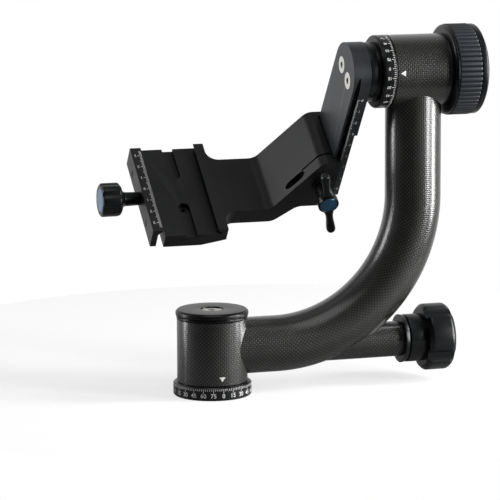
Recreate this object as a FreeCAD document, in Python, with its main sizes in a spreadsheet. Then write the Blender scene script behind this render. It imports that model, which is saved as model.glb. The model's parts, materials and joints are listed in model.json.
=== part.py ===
"""Gimbal tripod head: a panning carbon arm with a swinging dovetail rail and plate clamp.

Frame: millimetres, +Z up. The origin is the centre of the base's bottom face, on the pan axis.
+X points to the arm, and the open side that faces a viewer is -Y. The swing arm is modelled
upright about the tilt axis (x across, y over its width, z up its rail) and leans by tilt_rest.
"""
import FreeCAD, Part
import os

import Sketcher
from FreeCAD import Placement, Rotation, Vector

doc = FreeCAD.newDocument("gimbal_head")

# Driving sizes: alias, value, what it is
SIZES = [
    ("run_gap", 0.05, "radial running clearance of a shaft in its bore"),
    ("base_radius", 24.8, "graduated base ring"),
    ("base_height", 8.5, "graduated base ring"),
    ("ring_bevel", 0.8, "bevel of both graduated rings"),
    ("socket_radius", 4.763, "3/8 inch tripod thread, major radius"),
    ("insert_radius", 8.0, "threaded insert"),
    ("insert_height", 10.0, "threaded insert"),
    ("flange_radius", 14.5, "flange of the pan spindle"),
    ("flange_height", 1.8, "flange of the pan spindle"),
    ("shaft_radius", 8.5, "pan spindle and tilt shaft"),
    ("race_outer", 15.0, "outside of each ball bearing"),
    ("race_width", 7.0, "width of each ball bearing"),
    ("race_pitch", 11.75, "pitch radius of the balls"),
    ("race_wall", 1.8, "wall of each bearing ring"),
    ("ball_radius", 2.0, "bearing balls"),
    ("ball_count", 9, "balls in each bearing"),
    ("shoulder", 2.0, "step of a shaft that carries a bearing"),
    ("pan_low", 11.0, "underside of the lower pan bearing"),
    ("pan_high", 39.8, "underside of the upper pan bearing"),
    ("sleeve_radius", 22.35, "carbon pan sleeve"),
    ("sleeve_bottom", 8.9, "carbon pan sleeve"),
    ("sleeve_top", 48.8, "carbon pan sleeve"),
    ("carbon_wall", 2.5, "wall of the carbon shell"),
    ("washer_height", 0.8, "slide washers"),
    ("liner_lip", 2.0, "step between the bearings of a liner"),
    ("cap_radius", 23.1, "pan cap"),
    ("cap_height", 5.5, "pan cap"),
    ("cap_bevel", 1.3, "bevel of the pan cap"),
    ("cap_ring", 1.4, "thin ring under the pan cap's groove"),
    ("cap_groove", 0.6, "groove of the pan cap"),
    ("cap_screw_head", 7.2, "countersunk head of the cap screw"),
    ("cap_screw_radius", 4.0, "cap screw, 8 mm thread"),
    ("cap_screw_length", 26.0, "cap screw"),
    ("arm_radius", 17.95, "carbon arm tube"),
    ("arm_height", 29.8, "axis of the lower arm tube"),
    ("arm_reach", 134.6, "axis of the upright arm tube"),
    ("bend_radius", 92.3, "centreline of the arm's bend"),
    ("tilt_height", 201.35, "tilt axis above the base"),
    ("tilt_rest", 38.4, "lean of the swing arm as photographed, degrees"),
    ("hub_radius", 23.2, "carbon hub sleeve and tilt dial"),
    ("hub_before", 18.4, "hub sleeve on the dial side of the arm's axis"),
    ("hub_after", 18.6, "hub sleeve on the knob side of the arm's axis"),
    ("hub_start", "=arm_reach - hub_before", "dial end of the hub sleeve"),
    ("hub_end", "=arm_reach + hub_after", "knob end of the hub sleeve"),
    ("lock_height", 27.9, "axis of the pan lock"),
    ("stub_radius", 11.4, "carbon branch that carries the pan lock"),
    ("stub_back", 9.1, "carbon branch's end before the arm's axis"),
    ("stub_end", "=arm_reach - stub_back", "end of the carbon branch"),
    ("collar_radius", 15.7, "collar on the branch"),
    ("collar_width", 2.7, "collar on the branch"),
    ("lock_gap", 0.55, "air in front of the pan brake shoe, knob loose"),
    ("lock_play", 0.9, "air between the collar and the lock knob"),
    ("shoe_radius", 5.0, "pan brake shoe"),
    ("shoe_length", 9.0, "pan brake shoe"),
    ("rod_radius", 3.0, "pan lock rod"),
    ("lock_thread", 5.0, "threaded part of the pan lock rod"),
    ("lock_thread_length", 20.0, "threaded part of the pan lock rod"),
    ("lock_hub_radius", 15.4, "smooth hub of the pan lock knob"),
    ("lock_hub_length", 11.1, "smooth hub of the pan lock knob"),
    ("lock_knob_radius", 21.5, "lobes of the pan lock knob"),
    ("lock_knob_length", 18.2, "lobes of the pan lock knob"),
    ("lock_lobes", 4, "lobes of the pan lock knob"),
    ("lock_scoop", 6.0, "radius of the scoops between the lobes"),
    ("lock_scoop_depth", 3.4, "depth of the scoops between the lobes"),
    ("boss_radius", 18.95, "turned boss behind the rail"),
    ("boss_groove", 0.5, "depth of the groove round the boss"),
    ("dial_width", 8.7, "tilt dial"),
    ("dial_gap", 0.3, "air between the tilt dial and the hub sleeve"),
    ("bearing_inset", 2.8, "first tilt bearing inside the hub sleeve"),
    ("bearing_pitch", 25.0, "distance of the two tilt bearings"),
    ("dial_end", "=hub_start - dial_gap", "tilt dial, hub end"),
    ("dial_start", "=dial_end - dial_width", "tilt dial, rail end"),
    ("tilt_low", "=hub_start + bearing_inset", "rail end of the first tilt bearing"),
    ("tilt_high", "=tilt_low + bearing_pitch", "rail end of the second tilt bearing"),
    ("tilt_play", 0.4, "air between the hub and the tilt knob"),
    ("tilt_brake", 1.1, "brake disc under the tilt knob"),
    ("tilt_core", 14.0, "shaft inside the tilt dial"),
    ("knob_radius", 29.15, "rubber grip of the tilt knob"),
    ("knob_face_radius", 25.0, "flat face of the tilt knob"),
    ("knob_bevel", 2.1, "width of the tilt knob's front bevel"),
    ("knob_width", 20.5, "tilt knob"),
    ("grip_wall", 2.6, "rubber grip"),
    ("grip_width", 15.4, "rubber grip"),
    ("grip_ribs", 54, "ribs of the rubber grip"),
    ("grip_cut", 0.7, "depth of the grooves between the ribs"),
    ("shaft_thread", 7.0, "threaded end of the tilt shaft"),
    ("rail_reach", 18.9, "open face of the rail before the tilt dial"),
    ("rail_face", "=dial_start - rail_reach", "open face of the dovetail rail"),
    ("rail_half", 19.35, "half width of the rail"),
    ("rail_lip", 0.8, "edge of the rail's dovetail"),
    ("rail_under", 3.0, "depth of the rail's dovetail, at 45 degrees"),
    ("rail_neck", 0.7, "straight part of the rail's neck"),
    ("rail_thick", 9.7, "thickness of the rail"),
    ("pad_thick", 1.8, "pad of the rail that seats on the boss"),
    ("pad_end", 37.7, "lower end of that pad below the tilt axis"),
    ("rail_length", 92.0, "rail end below the tilt axis"),
    ("rail_screw_pitch", 14.7, "distance of the two rail screws"),
    ("m6_head", 5.4, "countersunk head of a 6 mm screw"),
    ("m6_radius", 3.0, "6 mm thread"),
    ("rail_screw_length", 18.0, "rail screws"),
    ("stop_radius", 1.9, "stop pin of the rail"),
    ("stop_proud", 1.8, "stop pin standing out of the rail"),
    ("stop_drop", 88.0, "stop pin below the tilt axis"),
    ("slide_down", 8.0, "travel of the cradle towards the rail's end"),
    ("slide_gap", 0.12, "clearance of the cradle round the rail"),
    ("plate_half", 23.45, "half width of the cradle plate"),
    ("plate_top", 98.6, "top of the cradle's lower flat below the tilt axis"),
    ("plate_thick", 11.4, "thickness of the lower flat"),
    ("head_depth", 7.9, "upper flat of the cradle before the rail"),
    ("slope_run", 28.3, "run of the slope between the flats"),
    ("slope_head", "=rail_face - head_depth", "head of the slope"),
    ("slope_foot", "=slope_head - slope_run", "foot of the slope"),
    ("head_top", 57.5, "top of the rail clamp below the tilt axis"),
    ("head_bottom", 96.9, "underside of the rail clamp"),
    ("under_back", 18.3, "underside's upper level before the rail"),
    ("under_run", 14.5, "run of the underside's rise"),
    ("under_head", "=rail_face - under_back", "where the underside is level again"),
    ("under_foot", "=under_head - under_run", "where the underside starts to rise"),
    ("slope_round", 8.0, "rounding of the slope's upper corners"),
    ("under_round", 9.0, "rounding of the underside's corners"),
    ("hook_grip", 4.1, "depth of the hooks round the rail"),
    ("hook_end", "=rail_face + hook_grip", "end of the hooks round the rail"),
    ("slit_place", 15.0, "saw slit that frees the clamp finger"),
    ("slit_width", 1.2, "saw slit"),
    ("slot_back", 17.0, "relief slot of the finger before the rail"),
    ("slot_length", 10.0, "relief slot of the finger"),
    ("slot_end", "=rail_face - slot_back", "relief slot of the finger"),
    ("slot_start", "=slot_end - slot_length", "relief slot of the finger"),
    ("slot_width", 5.2, "relief slot of the finger"),
    ("bed_half", 38.7, "half length of the plate clamp"),
    ("bed_start", -20.9, "jaw end of the clamp bed"),
    ("bed_end", 20.5, "outer face of the fixed jaw"),
    ("bed_thick", 10.0, "clamp bed under the camera plate"),
    ("bed_heel", 4.0, "where the underside of the bed rises"),
    ("bed_rise", 4.1, "rise of the bed's underside at the fixed jaw"),
    ("jaw_rise", 4.0, "height of both jaws above the bed"),
    ("jaw_under", 3.3, "undercut of both jaws"),
    ("fixed_lip", 13.9, "inner edge of the fixed jaw"),
    ("neck_round", 8.0, "rounding between the bed and the plate"),
    ("groove_width", 7.4, "stop pin grooves of the bed"),
    ("groove_place", -3.3, "middle of the grooves"),
    ("groove_depth", 2.4, "stop pin grooves of the bed"),
    ("groove_far", 15.0, "round end of the far groove"),
    ("groove_near", 14.0, "round end of the near groove"),
    ("jaw_outer", -29.4, "outer face of the moving jaw, clamp open"),
    ("jaw_travel", 4.3, "closing travel of the moving jaw"),
    ("jaw_width", 7.3, "moving jaw over its lip"),
    ("jaw_half", 37.2, "half length of the moving jaw"),
    ("jaw_depth", 14.6, "height of the moving jaw"),
    ("screw_drop", 4.8, "clamp screw under the bed's top"),
    ("screw_reach", 3.0, "inner end of the clamp screw"),
    ("guide_radius", 2.0, "guide pins of the moving jaw"),
    ("guide_place", 22.0, "guide pins each side of the screw"),
    ("guide_reach", -9.0, "inner end of the guide pins"),
    ("grip_radius", 11.05, "clamp knob"),
    ("grip_start", -55.8, "outer end of the clamp knob"),
    ("grip_end", -42.5, "inner end of the clamp knob's flutes"),
    ("grip_flutes", 7, "flutes of the clamp knob"),
    ("neck_radius", 4.3, "neck of the clamp knob"),
    ("lever_back", 5.5, "lever screw before the rail"),
    ("lever_x", "=rail_face - lever_back", "lever screw, across"),
    ("lever_drop", 77.3, "lever screw below the tilt axis"),
    ("lever_hub_radius", 5.1, "neck of the wing lever"),
    ("lever_head_radius", 6.8, "head of the wing lever"),
    ("lever_head_start", 37.0, "head of the wing lever, from the mid plane"),
    ("lever_head_end", 42.3, "outer end of the wing lever"),
    ("wing_reach", 27.4, "tips of the wings from the lever's axis"),
    ("wing_tip", 2.95, "radius of the wing tips"),
    ("wing_waist", 2.3, "half width of the wings' waist"),
    ("wing_root", 5.0, "half width of the wings at the head"),
    ("wing_thick", 4.4, "thickness of the wings"),
    ("wing_sink", 3.3, "wings' middle plane behind the head's outer end"),
    ("wing_turn", 16.0, "turn of the wings from the rail's line, degrees"),
    ("wing_lean", 3.0, "outward lean of the wings, degrees"),
    ("lever_washer", 1.2, "washer under the wing lever"),
    ("m3_radius", 1.5, "3 mm thread"),
    ("m3_head", 2.8, "countersunk head of a 3 mm screw"),
    ("m5_radius", 2.5, "5 mm thread"),
    ("base_screw_pitch", 11.3, "pitch radius of the base screws"),
    ("dial_screw_pitch", 16.5, "pitch radius of the dial screws"),
]

sheet = doc.addObject("Spreadsheet::Sheet", "sizes")
for row, (alias, value, note) in enumerate(SIZES, start=1):
    sheet.set("A%d" % row, note)
    sheet.set("B%d" % row, str(value))
    sheet.setAlias("B%d" % row, alias)
doc.recompute()

ALONG = {
    "x": Rotation(Vector(0, 1, 0), 90),
    "y": Rotation(Vector(1, 0, 0), -90),
    "z": Rotation(),
}
# The three frames that finished pieces stand in
UPRIGHT = "upright"
ON_TILT_AXIS = "on tilt axis"
ON_SWING = "on swing arm"

kept = []


def bind(piece, prop, text):
    """Tie one property to the sheet; @name stands for a named size."""
    piece.setExpression(prop, text.replace("@", sheet.Name + "."))


def place(piece, x="0", y="0", z="0"):
    for axis, text in zip("xyz", (x, y, z)):
        bind(piece, "Placement.Base." + axis, text)


def rod(name, radius, length, x="0", y="0", z="0", along="z"):
    """A cylinder that starts at x, y, z and runs along one axis."""
    piece = doc.addObject("Part::Cylinder", name)
    piece.Placement = Placement(Vector(), ALONG[along])
    bind(piece, "Radius", radius)
    bind(piece, "Height", length)
    place(piece, x, y, z)
    return piece


def cone(name, start_radius, end_radius, length, x="0", y="0", z="0", along="z"):
    piece = doc.addObject("Part::Cone", name)
    piece.Placement = Placement(Vector(), ALONG[along])
    bind(piece, "Radius1", start_radius)
    bind(piece, "Radius2", end_radius)
    bind(piece, "Height", length)
    place(piece, x, y, z)
    return piece


def block(name, x, y, z):
    """A box between two ends on each axis."""
    piece = doc.addObject("Part::Box", name)
    for prop, (start, end) in zip(("Length", "Width", "Height"), (x, y, z)):
        bind(piece, prop, "(%s) - (%s)" % (end, start))
    place(piece, x[0], y[0], z[0])
    return piece


def fuse(name, *pieces):
    result = doc.addObject("Part::MultiFuse", name)
    result.Shapes = list(pieces)
    return result


def common(name, *pieces):
    result = doc.addObject("Part::MultiCommon", name)
    result.Shapes = list(pieces)
    return result


def cut(name, base, *tools):
    result = doc.addObject("Part::Cut", name)
    result.Base = base
    result.Tool = tools[0] if len(tools) == 1 else fuse(name + "_tools", *tools)
    return result


def bevelled(name, radius, length, x, y, z, along, outer_start=False):
    """A cylinder whose outer end is lightly bevelled."""
    wide = "%s + %s - 0.25" % (radius, length)
    narrow = "%s - 0.25" % radius
    ends = (narrow, wide) if outer_start else (wide, narrow)
    return common(
        name,
        rod(name + "_stock", radius, length, x, y, z, along),
        cone(name + "_bevel", *ends, length, x, y, z, along),
    )


def keep(piece, label, frame=UPRIGHT):
    """Name a finished piece and stand it in its frame."""
    piece.Label = label
    if frame != UPRIGHT:
        lean = sheet.tilt_rest if frame == ON_SWING else 0
        piece.Placement = Placement(Vector(0, 0, sheet.tilt_height), Rotation(Vector(1, 0, 0), lean))
        bind(piece, "Placement.Base.z", "@tilt_height")
    if frame == ON_SWING:
        bind(piece, "Placement.Rotation.Angle", "@tilt_rest")
    kept.append(piece)
    return piece


def outline(body, name, plane, points):
    """A closed sketch with straight sides, each corner tied to the sheet."""
    sketch = body.newObject("Sketcher::SketchObject", name)
    origin_plane = [f for f in body.Origin.OriginFeatures if f.Role == plane][0]
    sketch.AttachmentSupport = [(origin_plane, "")]
    sketch.MapMode = "FlatFace"
    values = []
    for place_texts in points:
        values.append([evaluate(text) for text in place_texts])
    count = len(points)
    for index in range(count):
        start = Vector(*values[index], 0)
        end = Vector(*values[(index + 1) % count], 0)
        sketch.addGeometry(Part.LineSegment(start, end), False)
    for index in range(count):
        before = (index - 1) % count
        sketch.addConstraint(Sketcher.Constraint("Coincident", before, 2, index, 1))
    for index, place_texts in enumerate(points):
        for kind, value, text in zip(("DistanceX", "DistanceY"), values[index], place_texts):
            number = sketch.addConstraint(Sketcher.Constraint(kind, -1, 1, index, 1, value))
            bind(sketch, "Constraints[%d]" % number, text)
    return sketch


def evaluate(text):
    """The present value of a sheet formula."""
    return float(sheet.evalExpression(text.replace("@", "")))


def turned(name, points, along):
    """A turned piece from its half section: each point is (along the axis, radius)."""
    body = doc.addObject("PartDesign::Body", name)
    if along == "z":
        points = [(radius, height) for height, radius in points]
    sketch = outline(body, name + "_section", "XZ_Plane", points)
    turn = body.newObject("PartDesign::Revolution", name + "_turn")
    turn.Profile = sketch
    turn.ReferenceAxis = (sketch, ["V_Axis" if along == "z" else "H_Axis"])
    turn.Angle = 360
    return body


def extruded(name, plane, points, length):
    """A prism whose outline lies on an origin plane and that reaches both sides of it alike."""
    body = doc.addObject("PartDesign::Body", name)
    sketch = outline(body, name + "_outline", plane, points)
    pad = body.newObject("PartDesign::Pad", name + "_pad")
    pad.Profile = sketch
    pad.Midplane = True
    bind(pad, "Length", length)
    return body


def round_corners(body, radius, corners):
    """Round the edges of a prism along Y that stand at the given x, z corners."""
    doc.recompute()
    base = body.Tip
    wanted = [Vector(evaluate(x), 0, evaluate(z)) for x, z in corners]
    names = []
    for number, edge in enumerate(base.Shape.Edges, start=1):
        ends = [vertex.Point for vertex in edge.Vertexes]
        upright = len(ends) == 2 and abs(ends[0].x - ends[1].x) + abs(ends[0].z - ends[1].z) < 0.001
        if upright and any(Vector(ends[0].x, 0, ends[0].z).distanceToPoint(w) < 0.01 for w in wanted):
            names.append("Edge%d" % number)
    rounding = body.newObject("PartDesign::Fillet", body.Name + "_round" + str(len(body.Group)))
    rounding.Base = (base, names)
    bind(rounding, "Radius", radius)
    body.Tip = rounding


def around(count, make, start=0.0):
    """One copy per step of a full turn: make(index, angle in degrees)."""
    return [make(index, start + 360.0 * index / count) for index in range(count)]


def bearing(tag, along, places, shaft_frame, shell_frame):
    """Two deep-groove ball bearings: rings that seat on the shaft and in the shell, and balls."""
    inner = []
    outer = []
    balls = []
    for number, start in enumerate(places):
        part = tag + str(number)
        middle = "(%s) + @race_width / 2" % start
        centre = {"x": ("(%s)" % middle, "0", "0"), "z": ("0", "0", "(%s)" % middle)}[along]
        corner = {"x": (start, "0", "0"), "z": ("0", "0", start)}[along]
        for side, bore, rim in (
            ("inner", "@shaft_radius", "@shaft_radius + @race_wall"),
            ("outer", "@race_outer - @race_wall", "@race_outer"),
        ):
            ring = rod(part + side + "_ring", rim, "@race_width", *corner, along=along)
            hole = rod(part + side + "_hole", bore, "@race_width", *corner, along=along)
            track = doc.addObject("Part::Torus", part + side + "_track")
            track.Placement = Placement(Vector(), ALONG[along])
            bind(track, "Radius1", "@race_pitch")
            bind(track, "Radius2", "@ball_radius + @run_gap")
            place(track, *centre)
            (inner if side == "inner" else outer).append(cut(part + side, ring, hole, track))

        def ball(index, angle):
            piece = doc.addObject("Part::Sphere", part + "ball" + str(index))
            bind(piece, "Radius", "@ball_radius")
            first = "@race_pitch * cos(%g)" % angle
            second = "@race_pitch * sin(%g)" % angle
            spot = {"x": (middle, first, second), "z": (first, second, middle)}[along]
            place(piece, *spot)
            return piece

        balls += around(int(sheet.ball_count), ball)
    keep(fuse(tag + "inner_pair", *inner), tag + "_bearing_inner_rings", shaft_frame)
    keep(fuse(tag + "outer_pair", *outer), tag + "_bearing_outer_rings", shell_frame)
    keep(fuse(tag + "ball_set", *balls), tag + "_bearing_balls", shaft_frame)


def countersunk(name, head, shank, length, depth, x, y, z, along, back=False):
    """A countersunk screw whose flat head lies at x, y, z; back turns it to the minus side."""
    sign = "-" if back else "+"
    axis = "xyz".index(along)
    spot = [x, y, z]
    shank_spot = list(spot)
    if back:
        spot[axis] = "(%s) - (%s)" % (spot[axis], depth)
        shank_spot[axis] = "(%s) - (%s)" % (shank_spot[axis], length)
        taper = cone(name + "_head", shank, head, depth, *spot, along=along)
    else:
        taper = cone(name + "_head", head, shank, depth, *spot, along=along)
    stem = rod(name + "_stem", shank, length, *shank_spot, along=along)
    return fuse(name + sign.replace("+", "_f").replace("-", "_b"), taper, stem)


# Base, spindle and pan bearings
keep(
    cut(
        "pan_base_cut",
        turned(
            "pan_base_turned",
            [
                ("0", "@insert_radius + @run_gap"),
                ("0", "@base_radius - @ring_bevel"),
                ("@ring_bevel", "@base_radius"),
                ("@base_height - @ring_bevel", "@base_radius"),
                ("@base_height", "@base_radius - @ring_bevel"),
                ("@base_height", "@insert_radius + @run_gap"),
            ],
            "z",
        ),
        *around(
            3,
            lambda index, angle: countersunk(
                "base_hole%d" % index, "@m3_head + @run_gap", "@m3_radius + @run_gap",
                "@base_height + 1", "@m3_head - @m3_radius",
                "@base_screw_pitch * cos(%g)" % angle, "@base_screw_pitch * sin(%g)" % angle, "0", "z",
            ),
            30.0,
        ),
    ),
    "pan_base",
)
keep(
    fuse(
        "base_screw_set",
        *around(
            3,
            lambda index, angle: countersunk(
                "base_screw%d" % index, "@m3_head", "@m3_radius", "@base_height + @flange_height - 0.3",
                "@m3_head - @m3_radius",
                "@base_screw_pitch * cos(%g)" % angle, "@base_screw_pitch * sin(%g)" % angle, "0", "z",
            ),
            30.0,
        ),
    ),
    "base_screws",
)
keep(
    turned(
        "thread_insert_turned",
        [
            ("0", "@socket_radius"),
            ("0", "@insert_radius"),
            ("@insert_height", "@insert_radius"),
            ("@insert_height", "@socket_radius"),
        ],
        "z",
    ),
    "thread_insert",
)
keep(
    cut(
        "pan_spindle_cut",
        turned(
            "pan_spindle_turned",
            [
                ("@base_height", "@insert_radius + @run_gap"),
                ("@base_height", "@flange_radius"),
                ("@base_height + @flange_height", "@flange_radius"),
                ("@base_height + @flange_height", "@shaft_radius + @shoulder"),
                ("@pan_low", "@shaft_radius + @shoulder"),
                ("@pan_low", "@shaft_radius - @run_gap"),
                ("@pan_high + @race_width - 0.5", "@shaft_radius - @run_gap"),
                ("@pan_high + @race_width - 0.5", "@cap_screw_radius + @run_gap"),
                ("@sleeve_top + 5 - @cap_screw_length", "@cap_screw_radius + @run_gap"),
                ("@sleeve_top + 3 - @cap_screw_length", "0"),
                ("@insert_height + @run_gap", "0"),
                ("@insert_height + @run_gap", "@insert_radius + @run_gap"),
            ],
            "z",
        ),
        *around(
            3,
            lambda index, angle: rod(
                "spindle_hole%d" % index, "@m3_radius + @run_gap", "@flange_height - 0.3 + @run_gap",
                "@base_screw_pitch * cos(%g)" % angle, "@base_screw_pitch * sin(%g)" % angle, "@base_height",
            ),
            30.0,
        ),
    ),
    "pan_spindle",
)
bearing("pan", "z", ("@pan_low", "@pan_high"), UPRIGHT, UPRIGHT)
keep(
    turned(
        "pan_washer_turned",
        [
            ("@pan_high + @race_width", "@cap_screw_radius + 0.3"),
            ("@pan_high + @race_width", "@shaft_radius + @race_wall - 0.3"),
            ("@pan_high + @race_width + @washer_height", "@shaft_radius + @race_wall - 0.3"),
            ("@pan_high + @race_width + @washer_height", "@cap_screw_radius + 0.3"),
        ],
        "z",
    ),
    "pan_washer",
)
CAP_BOTTOM = "@sleeve_top + 0.4"
CAP_TOP = "@sleeve_top + 0.4 + @cap_height"
SEAT = "@cap_screw_head - @cap_screw_radius"
keep(
    turned(
        "pan_cap_turned",
        [
            ("@pan_high + @race_width + @washer_height", "@cap_screw_radius + @run_gap"),
            ("@pan_high + @race_width + @washer_height", "@shaft_radius + 1"),
            (CAP_BOTTOM, "@shaft_radius + 1"),
            (CAP_BOTTOM, "@cap_radius - 0.8"),
            (CAP_BOTTOM + " + 0.3", "@cap_radius - 0.5"),
            (CAP_BOTTOM + " + @cap_ring", "@cap_radius - 0.5"),
            (CAP_BOTTOM + " + @cap_ring", "@cap_radius - 1.6"),
            (CAP_BOTTOM + " + @cap_ring + @cap_groove", "@cap_radius - 1.6"),
            (CAP_BOTTOM + " + @cap_ring + @cap_groove", "@cap_radius"),
            (CAP_TOP + " - @cap_bevel", "@cap_radius"),
            (CAP_TOP, "@cap_radius - @cap_bevel"),
            (CAP_TOP, "@cap_screw_head + @run_gap"),
            (CAP_TOP + " - 0.8", "@cap_screw_head + @run_gap"),
            (CAP_TOP + " - 0.8 - (%s)" % SEAT, "@cap_screw_radius + @run_gap"),
        ],
        "z",
    ),
    "pan_cap",
)


def hex_hole(name, across, depth, x, y, z, along, towards=1):
    """A hexagon socket: a six-sided prism that sinks into a screw head."""
    prism = doc.addObject("Part::Prism", name)
    prism.Polygon = 6
    turn = ALONG[along] if towards > 0 else ALONG[along] * Rotation(Vector(1, 0, 0), 180)
    prism.Placement = Placement(Vector(), turn)
    bind(prism, "Circumradius", "(%s) / sqrt(3)" % across)
    bind(prism, "Height", depth)
    place(prism, x, y, z)
    return prism


keep(
    cut(
        "cap_screw_cut",
        turned(
            "cap_screw_turned",
            [
                (CAP_TOP + " - 0.8", "0"),
                (CAP_TOP + " - 0.8", "@cap_screw_head"),
                (CAP_TOP + " - 0.8 - (%s)" % SEAT, "@cap_screw_radius"),
                (CAP_TOP + " - @cap_screw_length", "@cap_screw_radius"),
                (CAP_TOP + " - @cap_screw_length", "0"),
            ],
            "z",
        ),
        hex_hole("cap_screw_socket", "5", "3", "0", "0", CAP_TOP + " - 3.8", "z"),
    ),
    "cap_screw",
)

# Carbon arm: one hollow shell of sleeve, bent tube, hub and pan lock branch
BEND_X = "@arm_reach - @bend_radius"
BEND_Z = "@arm_height + @bend_radius"


def arm_tube(name, radius):
    bend = doc.addObject("Part::Torus", name + "_bend")
    bend.Placement = Placement(
        Vector(), Rotation(Vector(0, 0, -1), Vector(1, 0, 0), Vector(0, -1, 0), "XYZ"))
    bind(bend, "Radius1", "@bend_radius")
    bind(bend, "Radius2", radius)
    bend.Angle3 = 90
    place(bend, BEND_X, "0", BEND_Z)
    return [
        rod(name + "_low", radius, BEND_X, "0", "0", "@arm_height", "x"),
        bend,
        rod(name + "_up", radius, "@tilt_height - (%s)" % BEND_Z, "@arm_reach", "0", BEND_Z),
    ]


keep(
    cut(
        "carbon_frame_cut",
        fuse(
            "carbon_outside",
            rod("sleeve_outside", "@sleeve_radius", "@sleeve_top - @sleeve_bottom", z="@sleeve_bottom"),
            rod("hub_outside", "@hub_radius", "@hub_end - @hub_start", "@hub_start", "0", "@tilt_height", "x"),
            rod("branch_outside", "@stub_radius", "@stub_end - @arm_reach / 2",
                "@arm_reach / 2", "0", "@lock_height", "x"),
            *arm_tube("tube_outside", "@arm_radius"),
        ),
        rod("sleeve_inside", "@sleeve_radius - @carbon_wall", "@sleeve_top - @sleeve_bottom + 2",
            z="@sleeve_bottom - 1"),
        rod("hub_inside", "@hub_radius - @carbon_wall", "@hub_end - @hub_start + 2",
            "@hub_start - 1", "0", "@tilt_height", "x"),
        rod("branch_inside", "@stub_radius - @carbon_wall", "@stub_end - @arm_reach / 2 + 1",
            "@arm_reach / 2", "0", "@lock_height", "x"),
        *arm_tube("tube_inside", "@arm_radius - @carbon_wall"),
    ),
    "carbon_frame",
)
LINER = "@sleeve_radius - @carbon_wall - @run_gap"
keep(
    cut(
        "pan_liner_cut",
        turned(
            "pan_liner_turned",
            [
                ("@sleeve_bottom", "@race_outer + @run_gap"),
                ("@sleeve_bottom", LINER),
                ("@sleeve_top", LINER),
                ("@sleeve_top", "@race_outer + @run_gap"),
                ("@pan_high", "@race_outer + @run_gap"),
                ("@pan_high", "@race_outer - @liner_lip"),
                ("@pan_low + @race_width", "@race_outer - @liner_lip"),
                ("@pan_low + @race_width", "@race_outer + @run_gap"),
            ],
            "z",
        ),
        rod("shoe_way", "@shoe_radius + @run_gap", LINER, "0", "0", "@lock_height", "x"),
    ),
    "pan_liner",
)

# Pan lock: brake shoe, rod, threaded stud in its bush, collar and lobed knob
SHOE_START = "@shaft_radius + @lock_gap"
KNOB_A = "@stub_end + @collar_width + @lock_play"
KNOB_B = KNOB_A + " + @lock_hub_length"
KNOB_C = KNOB_B + " + @lock_knob_length"
STUD_START = "@stub_end - @lock_thread_length"
LOCK_SCOOP_TURN = 29.0
keep(
    cut(
        "brake_shoe_cut",
        rod("shoe_blank", "@shoe_radius", "%s + @shoe_length - @shaft_radius / 2" % SHOE_START,
            "@shaft_radius / 2", "0", "@lock_height", "x"),
        rod("shoe_hollow", SHOE_START, "@shoe_radius * 4", "0", "0", "@lock_height - @shoe_radius * 2"),
        rod("shoe_bore", "@rod_radius + @run_gap", "@shoe_length * 2",
            SHOE_START + " + @shoe_length / 2", "0", "@lock_height", "x"),
    ),
    "brake_shoe",
)
keep(
    fuse(
        "lock_rod_fused",
        rod("lock_rod_stem", "@rod_radius", "%s - (%s + @shoe_length / 2)" % (STUD_START, SHOE_START),
            SHOE_START + " + @shoe_length / 2", "0", "@lock_height", "x"),
        rod("lock_rod_foot", "@lock_thread - @run_gap", "4", STUD_START + " - 4", "0", "@lock_height", "x"),
    ),
    "lock_rod",
)
keep(
    cut(
        "lock_bush_cut",
        fuse(
            "lock_bush_fused",
            rod("lock_bush_body", "@stub_radius - @carbon_wall - @run_gap", "@lock_thread_length + 4",
                STUD_START + " - 4", "0", "@lock_height", "x"),
            rod("lock_bush_nose", "@lock_thread + 2", "@collar_width", "@stub_end", "0", "@lock_height", "x"),
        ),
        rod("lock_bush_bore", "@lock_thread + @run_gap", "@lock_thread_length * 2",
            STUD_START + " - 5", "0", "@lock_height", "x"),
    ),
    "lock_bush",
)
keep(
    cut(
        "stub_collar_cut",
        common(
            "stub_collar_bevelled",
            rod("stub_collar_disc", "@collar_radius", "@collar_width", "@stub_end", "0", "@lock_height", "x"),
            cone("stub_collar_bevel", "@collar_radius + @collar_width - 0.5", "@collar_radius - 0.5",
                 "@collar_width", "@stub_end", "0", "@lock_height", "x"),
        ),
        rod("stub_collar_bore", "@lock_thread + 2 + @run_gap", "@collar_width",
            "@stub_end", "0", "@lock_height", "x"),
    ),
    "stub_collar",
)


def lobed(name, count, core, reach, lobe, length, x, y, z, first):
    """A disc with round lobes, along X."""
    pieces = [rod(name + "_core", core, length, x, y, z, "x")]
    for index in range(count):
        angle = first + 360.0 * index / count
        pieces.append(
            rod(name + "_lobe%d" % index, lobe, length, x,
                "(%s) + (%s - %s) * cos(%g)" % (y, reach, lobe, angle),
                "(%s) + (%s - %s) * sin(%g)" % (z, reach, lobe, angle), "x"))
    return fuse(name, *pieces)


def knob_limits(name, start, end, radius, bevel, z="0"):
    """A turned envelope with bevelled ends, for trimming a knob head."""
    envelope = turned(
        name,
        [
            (start, "0"),
            (start, "%s - %s" % (radius, bevel)),
            (start + " + " + bevel, radius),
            (end + " - " + bevel, radius),
            (end, "%s - %s" % (radius, bevel)),
            (end, "0"),
        ],
        "x",
    )
    place(envelope, "0", "0", z)
    return envelope


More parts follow.
